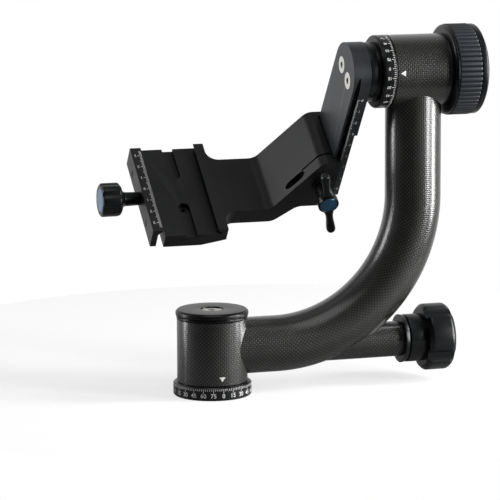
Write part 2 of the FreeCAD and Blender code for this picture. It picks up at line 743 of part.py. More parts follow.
keep(
    cut(
        "lock_knob_cut",
        fuse(
            "lock_knob_fused",
            rod("lock_knob_hub", "@lock_hub_radius", "@lock_hub_length + 0.5", KNOB_A, "0", "@lock_height", "x"),
            knob_limits("lock_knob_trim", KNOB_B, KNOB_C, "@lock_knob_radius", "2.2", "@lock_height"),
        ),
        *around(
            int(sheet.lock_lobes),
            lambda index, angle: rod(
                "lock_scoop%d" % index, "@lock_scoop", "@lock_knob_length + 2", KNOB_B + " - 1",
                "(@lock_knob_radius + @lock_scoop - @lock_scoop_depth) * cos(%g)" % angle,
                "@lock_height + (@lock_knob_radius + @lock_scoop - @lock_scoop_depth) * sin(%g)" % angle, "x"),
            LOCK_SCOOP_TURN,
        ),
        rod("lock_knob_bore", "@lock_thread + @run_gap", "@lock_hub_length + @lock_knob_length / 2",
            KNOB_A, "0", "@lock_height", "x"),
        rod("lock_knob_recess", "@lock_knob_radius * 0.56 + @run_gap", "1", KNOB_C + " - 1",
            "0", "@lock_height", "x"),
    ),
    "lock_knob",
)
keep(
    rod("lock_stud_rod", "@lock_thread", "(%s + @lock_knob_length / 2) - (%s)" % (KNOB_B, STUD_START),
        STUD_START, "0", "@lock_height", "x"),
    "lock_stud",
)
keep(
    rod("lock_cap_disc", "@lock_knob_radius * 0.56", "0.9", KNOB_C + " - 1", "0", "@lock_height", "x"),
    "lock_knob_cap",
)

# Tilt hub, bearings and shaft
TILT_KNOB = "@hub_end + @tilt_play"
DISC_START = TILT_KNOB + " - @tilt_brake"
HUB_LINER = "@hub_radius - @carbon_wall - @run_gap"
keep(
    turned(
        "tilt_liner_turned",
        [
            ("@hub_start", "@race_outer + @run_gap"),
            ("@hub_start", HUB_LINER),
            (DISC_START + " - 0.35", HUB_LINER),
            (DISC_START + " - 0.35", "@race_outer + @run_gap"),
            ("@tilt_high", "@race_outer + @run_gap"),
            ("@tilt_high", "@race_outer - @liner_lip"),
            ("@tilt_low + @race_width", "@race_outer - @liner_lip"),
            ("@tilt_low + @race_width", "@race_outer + @run_gap"),
        ],
        "x",
    ),
    "tilt_liner",
    ON_TILT_AXIS,
)
bearing("tilt", "x", ("@tilt_low", "@tilt_high"), ON_SWING, ON_TILT_AXIS)
BOSS_START = "@rail_face + @rail_thick + @pad_thick"
SHAFT_END = TILT_KNOB + " + 13"
GROOVE = BOSS_START + " + 4.6"
tilt_shaft = turned(
    "tilt_shaft_turned",
    [
        (BOSS_START, "0"),
        (BOSS_START, "@boss_radius - 0.5"),
        (BOSS_START + " + 0.5", "@boss_radius"),
        (GROOVE, "@boss_radius"),
        (GROOVE, "@boss_radius - @boss_groove"),
        (GROOVE + " + 0.8", "@boss_radius - @boss_groove"),
        (GROOVE + " + 0.8", "@boss_radius"),
        ("@dial_start", "@boss_radius"),
        ("@dial_start", "@tilt_core"),
        ("@dial_end", "@tilt_core"),
        ("@dial_end", "@shaft_radius + @shoulder"),
        ("@tilt_low", "@shaft_radius + @shoulder"),
        ("@tilt_low", "@shaft_radius - @run_gap"),
        ("@tilt_high + @race_width", "@shaft_radius - @run_gap"),
        ("@tilt_high + @race_width", "@shaft_thread"),
        (SHAFT_END, "@shaft_thread"),
        (SHAFT_END, "@m5_radius + @run_gap"),
        (SHAFT_END + " - 12", "@m5_radius + @run_gap"),
        (SHAFT_END + " - 13.5", "0"),
    ],
    "x",
)
RAIL_SCREWS = ("@rail_screw_pitch / 2", "-@rail_screw_pitch / 2")


def dial_screw_spots(make):
    return around(
        3,
        lambda index, angle: make(
            index, "@dial_screw_pitch * cos(%g)" % angle, "@dial_screw_pitch * sin(%g)" % angle),
        30.0,
    )


keep(
    cut(
        "tilt_shaft_cut",
        tilt_shaft,
        *[
            rod("rail_screw_bore%d" % number, "@m6_radius + @run_gap",
                "@rail_face + @rail_screw_length + 0.5 - (%s)" % BOSS_START, BOSS_START, y, "0", "x")
            for number, y in enumerate(RAIL_SCREWS)
        ],
        *dial_screw_spots(
            lambda index, y, z: rod(
                "dial_screw_bore%d" % index, "@m3_radius + @run_gap", "3.5",
                "@dial_start - 3.5", y, z, "x")),
    ),
    "tilt_shaft",
    ON_SWING,
)
keep(
    cut(
        "tilt_dial_cut",
        turned(
            "tilt_dial_turned",
            [
                ("@dial_start", "@tilt_core + @run_gap"),
                ("@dial_start", "@hub_radius - @ring_bevel"),
                ("@dial_start + @ring_bevel", "@hub_radius"),
                ("@dial_end - 0.3", "@hub_radius"),
                ("@dial_end", "@hub_radius - 0.3"),
                ("@dial_end", "@tilt_core + @run_gap"),
            ],
            "x",
        ),
        *dial_screw_spots(
            lambda index, y, z: countersunk(
                "dial_hole%d" % index, "@m3_head + @run_gap", "@m3_radius + @run_gap",
                "@dial_end - @dial_start + 1", "@m3_head - @m3_radius", "@dial_end", y, z, "x", True)),
    ),
    "tilt_dial",
    ON_SWING,
)
keep(
    fuse(
        "dial_screw_set",
        *dial_screw_spots(
            lambda index, y, z: countersunk(
                "dial_screw%d" % index, "@m3_head", "@m3_radius", "@dial_end - @dial_start + 3",
                "@m3_head - @m3_radius", "@dial_end", y, z, "x", True)),
    ),
    "dial_screws",
    ON_SWING,
)

# Tilt lock: brake disc, knob core, rubber grip, cap, stop washer and screw
keep(
    turned(
        "brake_disc_turned",
        [
            (DISC_START, "@shaft_thread + 0.3"),
            (DISC_START, "@hub_radius - @carbon_wall - 1"),
            (TILT_KNOB, "@hub_radius - @carbon_wall - 1"),
            (TILT_KNOB, "@shaft_thread + 0.3"),
        ],
        "x",
    ),
    "tilt_brake_disc",
    ON_SWING,
)
GRIP_START = TILT_KNOB + " + @knob_width - @grip_width - 3"
GRIP_END = TILT_KNOB + " + @knob_width - 3"
KNOB_END = TILT_KNOB + " + @knob_width + 2.8"
KNOB_RIM = "@knob_radius - 0.35"
keep(
    turned(
        "tilt_knob_turned",
        [
            (TILT_KNOB, "@shaft_thread + @run_gap"),
            (TILT_KNOB, "@knob_radius - 2.4"),
            (TILT_KNOB + " + 0.5", "@knob_radius - 1.2"),
            (TILT_KNOB + " + 1.4", KNOB_RIM),
            (GRIP_START, KNOB_RIM),
            (GRIP_START, "@knob_radius - @grip_wall"),
            (GRIP_END, "@knob_radius - @grip_wall"),
            (GRIP_END, KNOB_RIM),
            (KNOB_END + " - @knob_bevel", KNOB_RIM),
            (KNOB_END, "@knob_face_radius"),
            (KNOB_END, "19"),
            (KNOB_END + " - 1.6", "19"),
            (KNOB_END + " - 1.6", "12.3"),
            (SHAFT_END + " - 1.2", "12.3"),
            (SHAFT_END + " - 1.2", "@shaft_thread + @run_gap"),
        ],
        "x",
    ),
    "tilt_knob_core",
    ON_SWING,
)
grip_blank = turned(
    "tilt_grip_turned",
    [
        (GRIP_START + " + 0.1", "@knob_radius - @grip_wall + 0.2"),
        (GRIP_START + " + 0.1", "@knob_radius - 0.5"),
        (GRIP_START + " + 0.6", "@knob_radius"),
        (GRIP_END + " - 0.6", "@knob_radius"),
        (GRIP_END + " - 0.1", "@knob_radius - 0.5"),
        (GRIP_END + " - 0.1", "@knob_radius - @grip_wall + 0.2"),
    ],
    "x",
)
rib_count = int(sheet.grip_ribs)
rib_cuts = around(
    rib_count,
    lambda index, angle: rod(
        "grip_groove%d" % index, "@grip_cut", "@grip_width + 2", GRIP_START + " - 1",
        "@knob_radius * cos(%g)" % angle, "@knob_radius * sin(%g)" % angle, "x"),
)
keep(cut("tilt_grip_cut", grip_blank, *rib_cuts), "tilt_grip", ON_SWING)
keep(
    bevelled("tilt_cap_disc", "19 - @run_gap", "1.4", KNOB_END + " - 1.6", "0", "0", "x"),
    "tilt_knob_cap",
    ON_SWING,
)
keep(
    cut(
        "stop_washer_cut",
        rod("stop_washer_disc", "11.4", "1.4", SHAFT_END, "0", "0", "x"),
        rod("stop_washer_bore", "@m5_radius + @run_gap", "1.4", SHAFT_END, "0", "0", "x"),
    ),
    "tilt_stop_washer",
    ON_SWING,
)
keep(
    fuse(
        "stop_screw_fused",
        rod("stop_screw_head", "4.5", "2.6", SHAFT_END + " + 1.4", "0", "0", "x"),
        rod("stop_screw_stem", "@m5_radius", "13", SHAFT_END + " - 11.6", "0", "0", "x"),
    ),
    "tilt_stop_screw",
    ON_SWING,
)

# Swing rail with its dovetail, pad, screws and stop pin
RAIL_NECK = "@rail_half - @rail_under"
RAIL_LIP_X = "@rail_face + @rail_lip"
RAIL_NECK_X = RAIL_LIP_X + " + @rail_under"
RAIL_BODY_X = RAIL_NECK_X + " + @rail_neck"
RAIL_BACK = "@rail_face + @rail_thick"


def dovetail(name, spread, far_side):
    """The rail's cross section seen along its length, spread outwards by a clearance."""
    side = [
        ("@rail_face - " + spread, "@rail_half + " + spread),
        (RAIL_LIP_X, "@rail_half + " + spread),
        (RAIL_NECK_X, RAIL_NECK + " + " + spread),
        (RAIL_BODY_X, RAIL_NECK + " + " + spread),
    ]
    if far_side:
        side += [(RAIL_BODY_X, "@rail_half"), (RAIL_BACK, "@rail_half")]
    mirrored = [(x, "-(%s)" % y) for x, y in reversed(side)]
    return extruded(name, "XY_Plane", side + mirrored, "@rail_length * 4")


rail_bar = common(
    "rail_bar",
    dovetail("rail_profile", "0", True),
    fuse(
        "rail_limits",
        rod("rail_round_top", "@rail_half", "@rail_thick", "@rail_face", "0", "0", "x"),
        block("rail_straight", ("@rail_face", RAIL_BACK), ("-@rail_half", "@rail_half"), ("-@rail_length", "0")),
    ),
)
rail_pad = fuse(
    "rail_pad",
    rod("pad_round_top", "@rail_half", "@pad_thick", RAIL_BACK, "0", "0", "x"),
    block("pad_straight", (RAIL_BACK, BOSS_START), ("-@rail_half", "@rail_half"), ("-@pad_end", "0")),
)
keep(
    cut(
        "swing_rail_cut",
        fuse("rail_and_pad", rail_bar, rail_pad),
        rod("stop_pin_bore", "@stop_radius + @run_gap", "@rail_thick + 1", "@rail_face - 0.5",
            "0", "-@stop_drop", "x"),
        *[
            countersunk("rail_screw_hole%d" % number, "@m6_head + @run_gap", "@m6_radius + @run_gap",
                        "@rail_thick + @pad_thick + 1", "@m6_head - @m6_radius", "@rail_face", y, "0", "x")
            for number, y in enumerate(RAIL_SCREWS)
        ],
    ),
    "swing_rail",
    ON_SWING,
)
keep(
    cut(
        "rail_screw_set",
        fuse(
            "rail_screw_blanks",
            *[
                countersunk("rail_screw%d" % number, "@m6_head", "@m6_radius", "@rail_screw_length",
                            "@m6_head - @m6_radius", "@rail_face", y, "0", "x")
                for number, y in enumerate(RAIL_SCREWS)
            ],
        ),
        *[
            hex_hole("rail_screw_socket%d" % number, "4", "2.4", "@rail_face", y, "0", "x")
            for number, y in enumerate(RAIL_SCREWS)
        ],
    ),
    "rail_screws",
    ON_SWING,
)
keep(
    bevelled("stop_pin_rod", "@stop_radius", "(@stop_proud + @rail_thick - 0.2)", "@rail_face - @stop_proud",
             "0", "-@stop_drop", "x", True),
    "rail_stop_pin",
    ON_SWING,
)

# Cradle: rail clamp, stepped plate, plate clamp bed and fixed jaw in one piece
BED_TOP = "-(@plate_top + @jaw_rise)"
BED_BOTTOM = "-(@plate_top + @jaw_rise + @bed_thick)"
LIP_EDGE = "-(@plate_top + @jaw_rise - @jaw_under)"
SCREW_Z = "-(@plate_top + @jaw_rise + @screw_drop)"
plate = extruded(
    "cradle_plate",
    "XZ_Plane",
    [
        ("@bed_end - 3", "-@plate_top"),
        ("@slope_foot", "-@plate_top"),
        ("@slope_head", "-@head_top"),
        ("@hook_end", "-@head_top"),
        ("@hook_end", "-@head_bottom"),
        ("@under_head", "-@head_bottom"),
        ("@under_foot", "-(@plate_top + @plate_thick)"),
        ("@bed_end - 3", "-(@plate_top + @plate_thick)"),
    ],
    "2 * @plate_half",
)
round_corners(plate, "@slope_round", [("@slope_foot", "-@plate_top"), ("@slope_head", "-@head_top")])
round_corners(
    plate, "@under_round",
    [("@under_head", "-@head_bottom"), ("@under_foot", "-(@plate_top + @plate_thick)")])
bed = extruded(
    "clamp_bed",
    "XZ_Plane",
    [
        ("@bed_start", BED_TOP),
        ("@fixed_lip + @jaw_under", BED_TOP),
        ("@fixed_lip", LIP_EDGE),
        ("@fixed_lip", "-@plate_top"),
        ("@bed_end", "-@plate_top"),
        ("@bed_end", BED_BOTTOM + " + @bed_rise"),
        ("@bed_heel", BED_BOTTOM),
        ("@bed_start", BED_BOTTOM),
    ],
    "2 * @bed_half",
)
necks = []
for side, sign in (("far", ""), ("near", "-")):
    low = "%s(@plate_half - 0.5)" % sign
    high = "%s(@plate_half + @neck_round)" % sign
    ends = (low, high) if sign == "" else (high, low)
    corner = block("neck_corner_" + side, ("@bed_end - 0.5", "@bed_end + @neck_round"), ends,
                   ("-(@plate_top + @plate_thick)", "-@plate_top"))
    hollow = rod("neck_hollow_" + side, "@neck_round", "@plate_thick + 2", "@bed_end + @neck_round",
                 high, "-(@plate_top + @plate_thick + 1)")
    necks.append(cut("neck_" + side, corner, hollow))


def groove(name, inner, outer):
    """A stop pin groove of the bed with one round end."""
    low, high = sorted((inner, outer), key=evaluate)
    x = ("@groove_place - @groove_width / 2", "@groove_place + @groove_width / 2")
    z = (BED_TOP + " - @groove_depth", BED_TOP + " + 1")
    round_end = rod(name + "_end", "@groove_width / 2", "@groove_depth + 1", "@groove_place", inner, z[0])
    return [block(name + "_run", x, (low, high), z), round_end]


FINGER_Y = "-@slit_place - @slit_width / 2"
SLOT_Y = "-@slit_place - @slot_width / 2 - 0.2"
SLOT_END = "@slot_width / 2"
HEAD_SPAN = ("-@head_bottom - 1", "-@head_top + 1")
GUIDES = (("far", "@guide_place"), ("near", "-@guide_place"))
keep(
    cut(
        "cradle_cut",
        fuse("cradle_fused", plate, bed, *necks),
        dovetail("rail_way", "@slide_gap", False),
        block("rail_relief", ("@rail_face - 1.1", "@rail_face + 1"),
              ("-@rail_half - @slide_gap", "@rail_half + @slide_gap"), ("-@head_top - 1", "-@head_top + 1")),
        block("pin_way", ("@rail_face - @stop_proud - 0.3", "@rail_face"),
              ("-@stop_radius - 0.3", "@stop_radius + 0.3"),
              ("-@head_bottom - 1", "-@stop_drop + @slide_down + @stop_radius + 0.1")),
        block("finger_slit", ("@slot_end - 1", "@rail_face"),
              (FINGER_Y, FINGER_Y + " + @slit_width"), HEAD_SPAN),
        block("finger_slot", ("@slot_start + " + SLOT_END, "@slot_end - " + SLOT_END),
              (SLOT_Y + " - @slot_width / 2", SLOT_Y + " + @slot_width / 2"), ("-@bed_half * 3", "0")),
        rod("slot_left_end", SLOT_END, "@bed_half * 3", "@slot_start + " + SLOT_END, SLOT_Y, "-@bed_half * 3"),
        rod("slot_right_end", SLOT_END, "@bed_half * 3", "@slot_end - " + SLOT_END, SLOT_Y, "-@bed_half * 3"),
        rod("lever_bore", "@m6_radius + @run_gap", "@plate_half + 1", "@lever_x", "-@plate_half - 1",
            "-@lever_drop", "y"),
        rod("screw_bore", "@m6_radius + @run_gap", "@screw_reach + @jaw_travel + 1 - @bed_start",
            "@bed_start", "0", SCREW_Z, "x"),
        *groove("far_groove", "@groove_far", "@bed_half + 1"),
        *groove("near_groove", "-@groove_near", "-@bed_half - 1"),
        rod("bed_screw_hole", "@groove_width / 2", "6", "@groove_place", "-@groove_near", BED_TOP + " - 6"),
        *[
            rod("guide_bore_" + side, "@guide_radius + @run_gap",
                "@guide_reach + @jaw_travel + 0.6 - @bed_start", "@bed_start", y, SCREW_Z, "x")
            for side, y in GUIDES
        ],
        *[
            rod("spring_bore_" + side, "@guide_radius + 1.5", "@jaw_travel + 1.8", "@bed_start", y, SCREW_Z, "x")
            for side, y in GUIDES
        ],
    ),
    "cradle",
    ON_SWING,
)
keep(
    cut(
        "bed_screw_cut",
        rod("bed_screw_head", "@groove_width / 2 - @run_gap", "2.6", "@groove_place", "-@groove_near",
            BED_TOP + " - 6"),
        hex_hole("bed_screw_socket", "2.5", "1.6", "@groove_place", "-@groove_near", BED_TOP + " - 5", "z"),
    ),
    "bed_screw",
    ON_SWING,
)
keep(
    cut(
        "lever_washer_cut",
        rod("lever_washer_disc", "@lever_hub_radius + 1", "@lever_washer", "@lever_x",
            "-@plate_half - @lever_washer", "-@lever_drop", "y"),
        rod("lever_washer_bore", "@m6_radius + 0.3", "@lever_washer", "@lever_x",
            "-@plate_half - @lever_washer", "-@lever_drop", "y"),
    ),
    "lever_washer",
    ON_SWING,
)

# Moving jaw, its guide pins and springs
jaw = extruded(
    "jaw_bar",
    "XZ_Plane",
    [
        ("@jaw_outer", "-@plate_top"),
        ("@jaw_outer + @jaw_width", "-@plate_top"),
        ("@jaw_outer + @jaw_width", LIP_EDGE),
        ("@jaw_outer + @jaw_width - @jaw_under", BED_TOP),
        ("@jaw_outer + @jaw_width - @jaw_under", "-(@plate_top + @jaw_depth)"),
        ("@jaw_outer", "-(@plate_top + @jaw_depth)"),
    ],
    "2 * @jaw_half",
)
JAW_INNER = "@jaw_outer + @jaw_width - @jaw_under"
keep(
    cut(
        "clamp_jaw_cut",
        jaw,
        rod("jaw_screw_hole", "@m6_radius + @run_gap", "@jaw_width + 2", "@jaw_outer - 1", "0", SCREW_Z, "x"),
        *[
            rod("jaw_pin_hole_" + side, "@guide_radius + @run_gap", "@jaw_width + 2", "@jaw_outer - 1",
                y, SCREW_Z, "x")
            for side, y in GUIDES
        ],
    ),
    "clamp_jaw",
    ON_SWING,
)
keep(
    fuse(
        "guide_pin_pair",
        *[
            rod("guide_pin_" + side, "@guide_radius", "@guide_reach - @jaw_outer - 0.3",
                "@jaw_outer + 0.3", y, SCREW_Z, "x")
            for side, y in GUIDES
        ],
    ),
    "jaw_guide_pins",
    ON_SWING,
)


def spring(name, y):
    """A small closed-wound spring along X that starts on the moving jaw, its coils drawn as rings."""
    start = JAW_INNER + " + 0.05"
    coil = "@guide_radius + 0.75"
    rings = []
    for index in range(5):
        ring = doc.addObject("Part::Torus", "%s_ring%d" % (name, index))
        ring.Placement = Placement(Vector(), ALONG["x"])
        bind(ring, "Radius1", coil)
        bind(ring, "Radius2", "0.4")
        place(ring, "%s + 0.6 + %d" % (start, index), y, SCREW_Z)
        rings.append(ring)
    tube = cut(
        name + "_tube",
        rod(name + "_outside", coil + " + 0.2", "5.2", start, y, SCREW_Z, "x"),
        rod(name + "_inside", coil + " - 0.2", "5.2", start, y, SCREW_Z, "x"),
    )
    return fuse(name, tube, *rings)


keep(fuse("spring_pair", *[spring("spring_" + side, y) for side, y in GUIDES]), "jaw_springs", ON_SWING)

# Clamp knob and screw
GRIP_LENGTH = "@grip_end - @grip_start"
knob_blank = common(
    "clamp_knob_head",
    knob_limits("clamp_knob_trim", "@grip_start", "@grip_end", "@grip_radius", "1.1", SCREW_Z),
)
knob_blank.Shapes = [
    doc.getObject("clamp_knob_trim"),
    lobed("clamp_knob_lobes", int(sheet.grip_flutes), "@grip_radius * 0.86", "@grip_radius",
          "@grip_radius * 0.3", GRIP_LENGTH, "@grip_start", "0", SCREW_Z, 90.0),
]
keep(
    cut(
        "clamp_knob_cut",
        fuse(
            "clamp_knob_fused",
            knob_blank,
            rod("clamp_knob_neck", "@neck_radius", "@jaw_outer - 0.1 - @grip_end + 0.5",
                "@grip_end - 0.5", "0", SCREW_Z, "x"),
        ),
        rod("clamp_knob_bore", "@m6_radius + @run_gap", "@jaw_outer - @grip_start - 5",
            "@grip_start + 5", "0", SCREW_Z, "x"),
        rod("clamp_knob_recess", "@grip_radius * 0.72 + @run_gap", "0.8", "@grip_start", "0", SCREW_Z, "x"),
    ),
    "clamp_knob",
    ON_SWING,
)
keep(
    bevelled("clamp_screw_rod", "@m6_radius", "(@screw_reach - @grip_start - 5.2)", "@grip_start + 5.2",
             "0", SCREW_Z, "x"),
    "clamp_screw",
    ON_SWING,
)
keep(
    bevelled("clamp_knob_plate", "@grip_radius * 0.72", "0.75", "@grip_start + 0.05", "0", SCREW_Z, "x", True),
    "clamp_knob_disc",
    ON_SWING,
)

# Wing lever of the rail clamp
LEVER_Z = "-@lever_drop"
WING_ROOT = "-(@lever_head_end - @wing_sink)"


def wing(name, turn):
    """One wing, drawn along +X from the lever's axis, leaned outwards and turned into place."""
    arm = extruded(
        name + "_arm",
        "XZ_Plane",
        [
            ("0", "@wing_root"),
            ("@wing_reach / 2", "@wing_waist"),
            ("@wing_reach - @wing_tip", "@wing_tip"),
            ("@wing_reach - @wing_tip", "-@wing_tip"),
            ("@wing_reach / 2", "-@wing_waist"),
            ("0", "-@wing_root"),
        ],
        "@wing_thick",
    )
    tip = rod(name + "_tip", "@wing_tip", "@wing_thick", "@wing_reach - @wing_tip", "-@wing_thick / 2", "0", "y")
    both = fuse(name, arm, tip)
    lean = Rotation(Vector(0, 0, 1), -float(sheet.wing_lean))
    both.Placement = Placement(Vector(), Rotation(Vector(0, 1, 0), turn) * lean)
    place(both, "@lever_x", WING_ROOT, LEVER_Z)
    return both


turn_down = 90 - sheet.wing_turn
keep(
    cut(
        "wing_lever_cut",
        fuse(
            "wing_lever_fused",
            rod("lever_neck", "@lever_hub_radius", "@lever_head_start + 0.5 - @plate_half - @lever_washer - 0.1",
                "@lever_x", "-@lever_head_start - 0.5", LEVER_Z, "y"),
            rod("lever_head", "@lever_head_radius", "@lever_head_end - @lever_head_start",
                "@lever_x", "-@lever_head_end", LEVER_Z, "y"),
            wing("wing_down", turn_down),
            wing("wing_up", turn_down + 180),
        ),
        rod("lever_stud_bore", "@m6_radius + @run_gap", "@lever_head_end - @plate_half",
            "@lever_x", "-@lever_head_end + 2", LEVER_Z, "y"),
        rod("lever_recess", "@lever_head_radius - 1.1 + @run_gap", "4", "@lever_x", "-@lever_head_end - 3.2",
            LEVER_Z, "y"),
    ),
    "wing_lever",
    ON_SWING,
)
keep(
    bevelled("lever_stud_rod", "@m6_radius", "(@lever_head_end - 2.2 - 3)", "@lever_x", "-@lever_head_end + 2.2",
             LEVER_Z, "y"),
    "lever_stud",
    ON_SWING,
)
keep(
    bevelled("lever_disc_plate", "(@lever_head_radius - 1.1)", "0.7", "@lever_x", "-@lever_head_end + 0.1",
             LEVER_Z, "y", True),
    "lever_disc",
    ON_SWING,
)

doc.recompute()
for thing in doc.Objects:
    if "Invalid" in thing.State or "Error" in thing.State:
        raise SystemExit("%s failed: %s" % (thing.Name, thing.State))
for piece in kept:
    if piece.Shape.isNull() or not piece.Shape.isValid():
        raise SystemExit("%s has no valid shape" % piece.Label)
os.makedirs("parts", exist_ok=True)
for piece in kept:
    piece.Shape.exportStep("parts/%s.step" % piece.Label)
print(len(kept), "pieces written")
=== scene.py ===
"""Looks of the gimbal head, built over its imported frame. Sizes are in millimetres unless said otherwise."""
import json
import math

import bmesh
import bpy
from mathutils import Matrix, Vector


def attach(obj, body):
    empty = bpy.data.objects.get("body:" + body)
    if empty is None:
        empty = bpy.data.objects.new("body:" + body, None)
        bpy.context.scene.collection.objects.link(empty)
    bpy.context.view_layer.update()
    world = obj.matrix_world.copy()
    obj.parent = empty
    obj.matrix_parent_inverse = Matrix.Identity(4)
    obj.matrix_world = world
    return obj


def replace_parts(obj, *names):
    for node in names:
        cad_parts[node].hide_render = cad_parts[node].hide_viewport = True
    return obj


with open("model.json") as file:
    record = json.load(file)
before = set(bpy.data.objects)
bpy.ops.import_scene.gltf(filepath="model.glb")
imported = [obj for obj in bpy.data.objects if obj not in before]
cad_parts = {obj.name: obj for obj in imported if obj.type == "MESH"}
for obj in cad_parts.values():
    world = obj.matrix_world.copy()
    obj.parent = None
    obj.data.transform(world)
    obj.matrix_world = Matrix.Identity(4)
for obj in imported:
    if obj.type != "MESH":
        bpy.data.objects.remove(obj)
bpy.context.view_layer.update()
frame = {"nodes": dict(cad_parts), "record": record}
nodes = frame["nodes"]

MM = 0.001
TILT_HEIGHT = 201.35
TILT_REST = math.radians(38.4)
LOCK_HEIGHT = 27.9
ARM_HEIGHT = 29.8
ARM_REACH = 134.6
BEND_RADIUS = 92.3
ARM_RADIUS = 17.95
SLEEVE_RADIUS = 22.35
SLEEVE_BOTTOM = 8.9
SLEEVE_TOP = 48.8
HUB_RADIUS = 23.2
HUB_START = 116.2
HUB_END = 153.2
BRANCH_RADIUS = 11.4
BRANCH_START = 67.0
BRANCH_END = 125.5
TUBE_START = 9.0
TUBE_TOP = TILT_HEIGHT - 11.0
WALL = 2.5
BASE_RADIUS = 24.8
LOCK_KNOB_RADIUS = 21.5
RAIL_FACE = 93.0
RAIL_HALF = 19.35
BED_DROP = 98.6
CLAMP_DROP = 107.4
LEVER_X = 82.8
LEVER_DROP = 77.3

UPRIGHT = Matrix.Identity(4)
ON_TILT_AXIS = Matrix.Translation((0, 0, TILT_HEIGHT))
ON_SWING = ON_TILT_AXIS @ Matrix.Rotation(TILT_REST, 4, "X")
# Turns a lathe's own axis, which is Z, to X or to -Y; ALONG_X takes the lathe's first direction to +Y
ALONG_X = Matrix(((0, 0, 1, 0), (1, 0, 0, 0), (0, 1, 0, 0), (0, 0, 0, 1)))
ALONG_NEAR = Matrix(((1, 0, 0, 0), (0, 0, -1, 0), (0, 1, 0, 0), (0, 0, 0, 1)))
LOCK_AXIS = Matrix.Translation((0, 0, LOCK_HEIGHT)) @ ALONG_X
AXIS_X = ON_SWING @ ALONG_X
CLAMP_AXIS = ON_SWING @ Matrix.Translation((0, 0, -CLAMP_DROP)) @ ALONG_X
LEVER_AXIS = ON_SWING @ Matrix.Translation((LEVER_X, 0, -LEVER_DROP)) @ ALONG_NEAR


# Materials
def new_material(name):
    material = bpy.data.materials.new(name)
    material.use_nodes = True
    tree = material.node_tree
    shader = tree.nodes["Principled BSDF"]
    return material, tree, shader


def link(tree, source, target):
    tree.links.new(source, target)


def math_node(tree, operation, first, second=None, clamp=False):
    node = tree.nodes.new("ShaderNodeMath")
    node.operation = operation
    node.use_clamp = clamp
    for slot_index, value in enumerate((first, second)):
        if value is None:
            continue
        if isinstance(value, (int, float)):
            node.inputs[slot_index].default_value = value
        else:
            link(tree, value, node.inputs[slot_index])
    return node.outputs[0]


def noise(tree, scale, detail=3.0, stretch=None):
    """Noise over the piece's own place in metres, drawn out along an axis if asked."""
    place = tree.nodes.new("ShaderNodeTexCoord").outputs["Object"]
    if stretch:
        mapping = tree.nodes.new("ShaderNodeMapping")
        mapping.inputs["Scale"].default_value = stretch
        link(tree, place, mapping.inputs["Vector"])
        place = mapping.outputs["Vector"]
    texture = tree.nodes.new("ShaderNodeTexNoise")
    texture.inputs["Scale"].default_value = scale
    texture.inputs["Detail"].default_value = detail
    link(tree, place, texture.inputs["Vector"])
    return texture.outputs["Fac"]


def ramp(tree, factor, stops):
    node = tree.nodes.new("ShaderNodeValToRGB")
    elements = node.color_ramp.elements
    while len(elements) < len(stops):
        elements.new(0.5)
    for element, (place, colour) in zip(elements, stops):
        element.position = place
        element.color = (*colour, 1.0)
    link(tree, factor, node.inputs["Fac"])
    return node.outputs["Color"]


def spread(tree, factor, low, high):
    """Stretch a 0 to 1 value over a range."""
    node = tree.nodes.new("ShaderNodeMapRange")
    node.inputs["To Min"].default_value = low
    node.inputs["To Max"].default_value = high
    link(tree, factor, node.inputs["Value"])
    return node.outputs["Result"]


def bump(tree, shader, height, strength, distance, socket="Normal"):
    """Relief from a height; the distance is in metres."""
    node = tree.nodes.new("ShaderNodeBump")
    node.inputs["Strength"].default_value = strength
    node.inputs["Distance"].default_value = distance
    link(tree, height, node.inputs["Height"])
    link(tree, node.outputs["Normal"], shader.inputs[socket])


def anodised(name, colour, rough, metallic=0.75, shine=0.5):
    """Bead-blasted and anodised aluminium: fine grain, cloudy sheen, lighter worn edges."""
    material, tree, shader = new_material(name)
    shader.inputs["Metallic"].default_value = metallic
    shader.inputs["Specular IOR Level"].default_value = shine
    fine = noise(tree, 5200.0, 2.0)
    cloud = noise(tree, 38.0, 4.0)
    low = tuple(0.82 * c for c in colour)
    high = tuple(1.2 * c for c in colour)
    tone = ramp(tree, cloud, [(0.3, low), (0.7, high)])
    edges = tree.nodes.new("ShaderNodeNewGeometry").outputs["Pointiness"]
    worn = ramp(tree, edges, [(0.53, (0, 0, 0)), (0.62, (1, 1, 1))])
    mix = tree.nodes.new("ShaderNodeMix")
    mix.data_type = "RGBA"
    scratched = math_node(tree, "MULTIPLY", worn, 0.35)
    link(tree, scratched, mix.inputs["Factor"])
    link(tree, tone, mix.inputs[6])
    mix.inputs[7].default_value = (*[min(1.0, 3.0 * c + 0.01) for c in colour], 1.0)
    link(tree, mix.outputs[2], shader.inputs["Base Color"])
    link(tree, spread(tree, cloud, rough - 0.06, rough + 0.06), shader.inputs["Roughness"])
    bump(tree, shader, fine, 0.25, 0.00002)
    return material


def bare_metal(name, colour, rough, stretch=(1.0, 1.0, 1.0)):
    """Turned or plated metal with fine tool marks."""
    material, tree, shader = new_material(name)
    shader.inputs["Metallic"].default_value = 1.0
    tool_marks = noise(tree, 900.0, 3.0, stretch)
    low = tuple(0.86 * c for c in colour)
    link(tree, ramp(tree, tool_marks, [(0.3, low), (0.7, colour)]), shader.inputs["Base Color"])
    link(tree, spread(tree, tool_marks, rough - 0.05, rough + 0.08), shader.inputs["Roughness"])
    bump(tree, shader, tool_marks, 0.12, 0.00001)
    return material


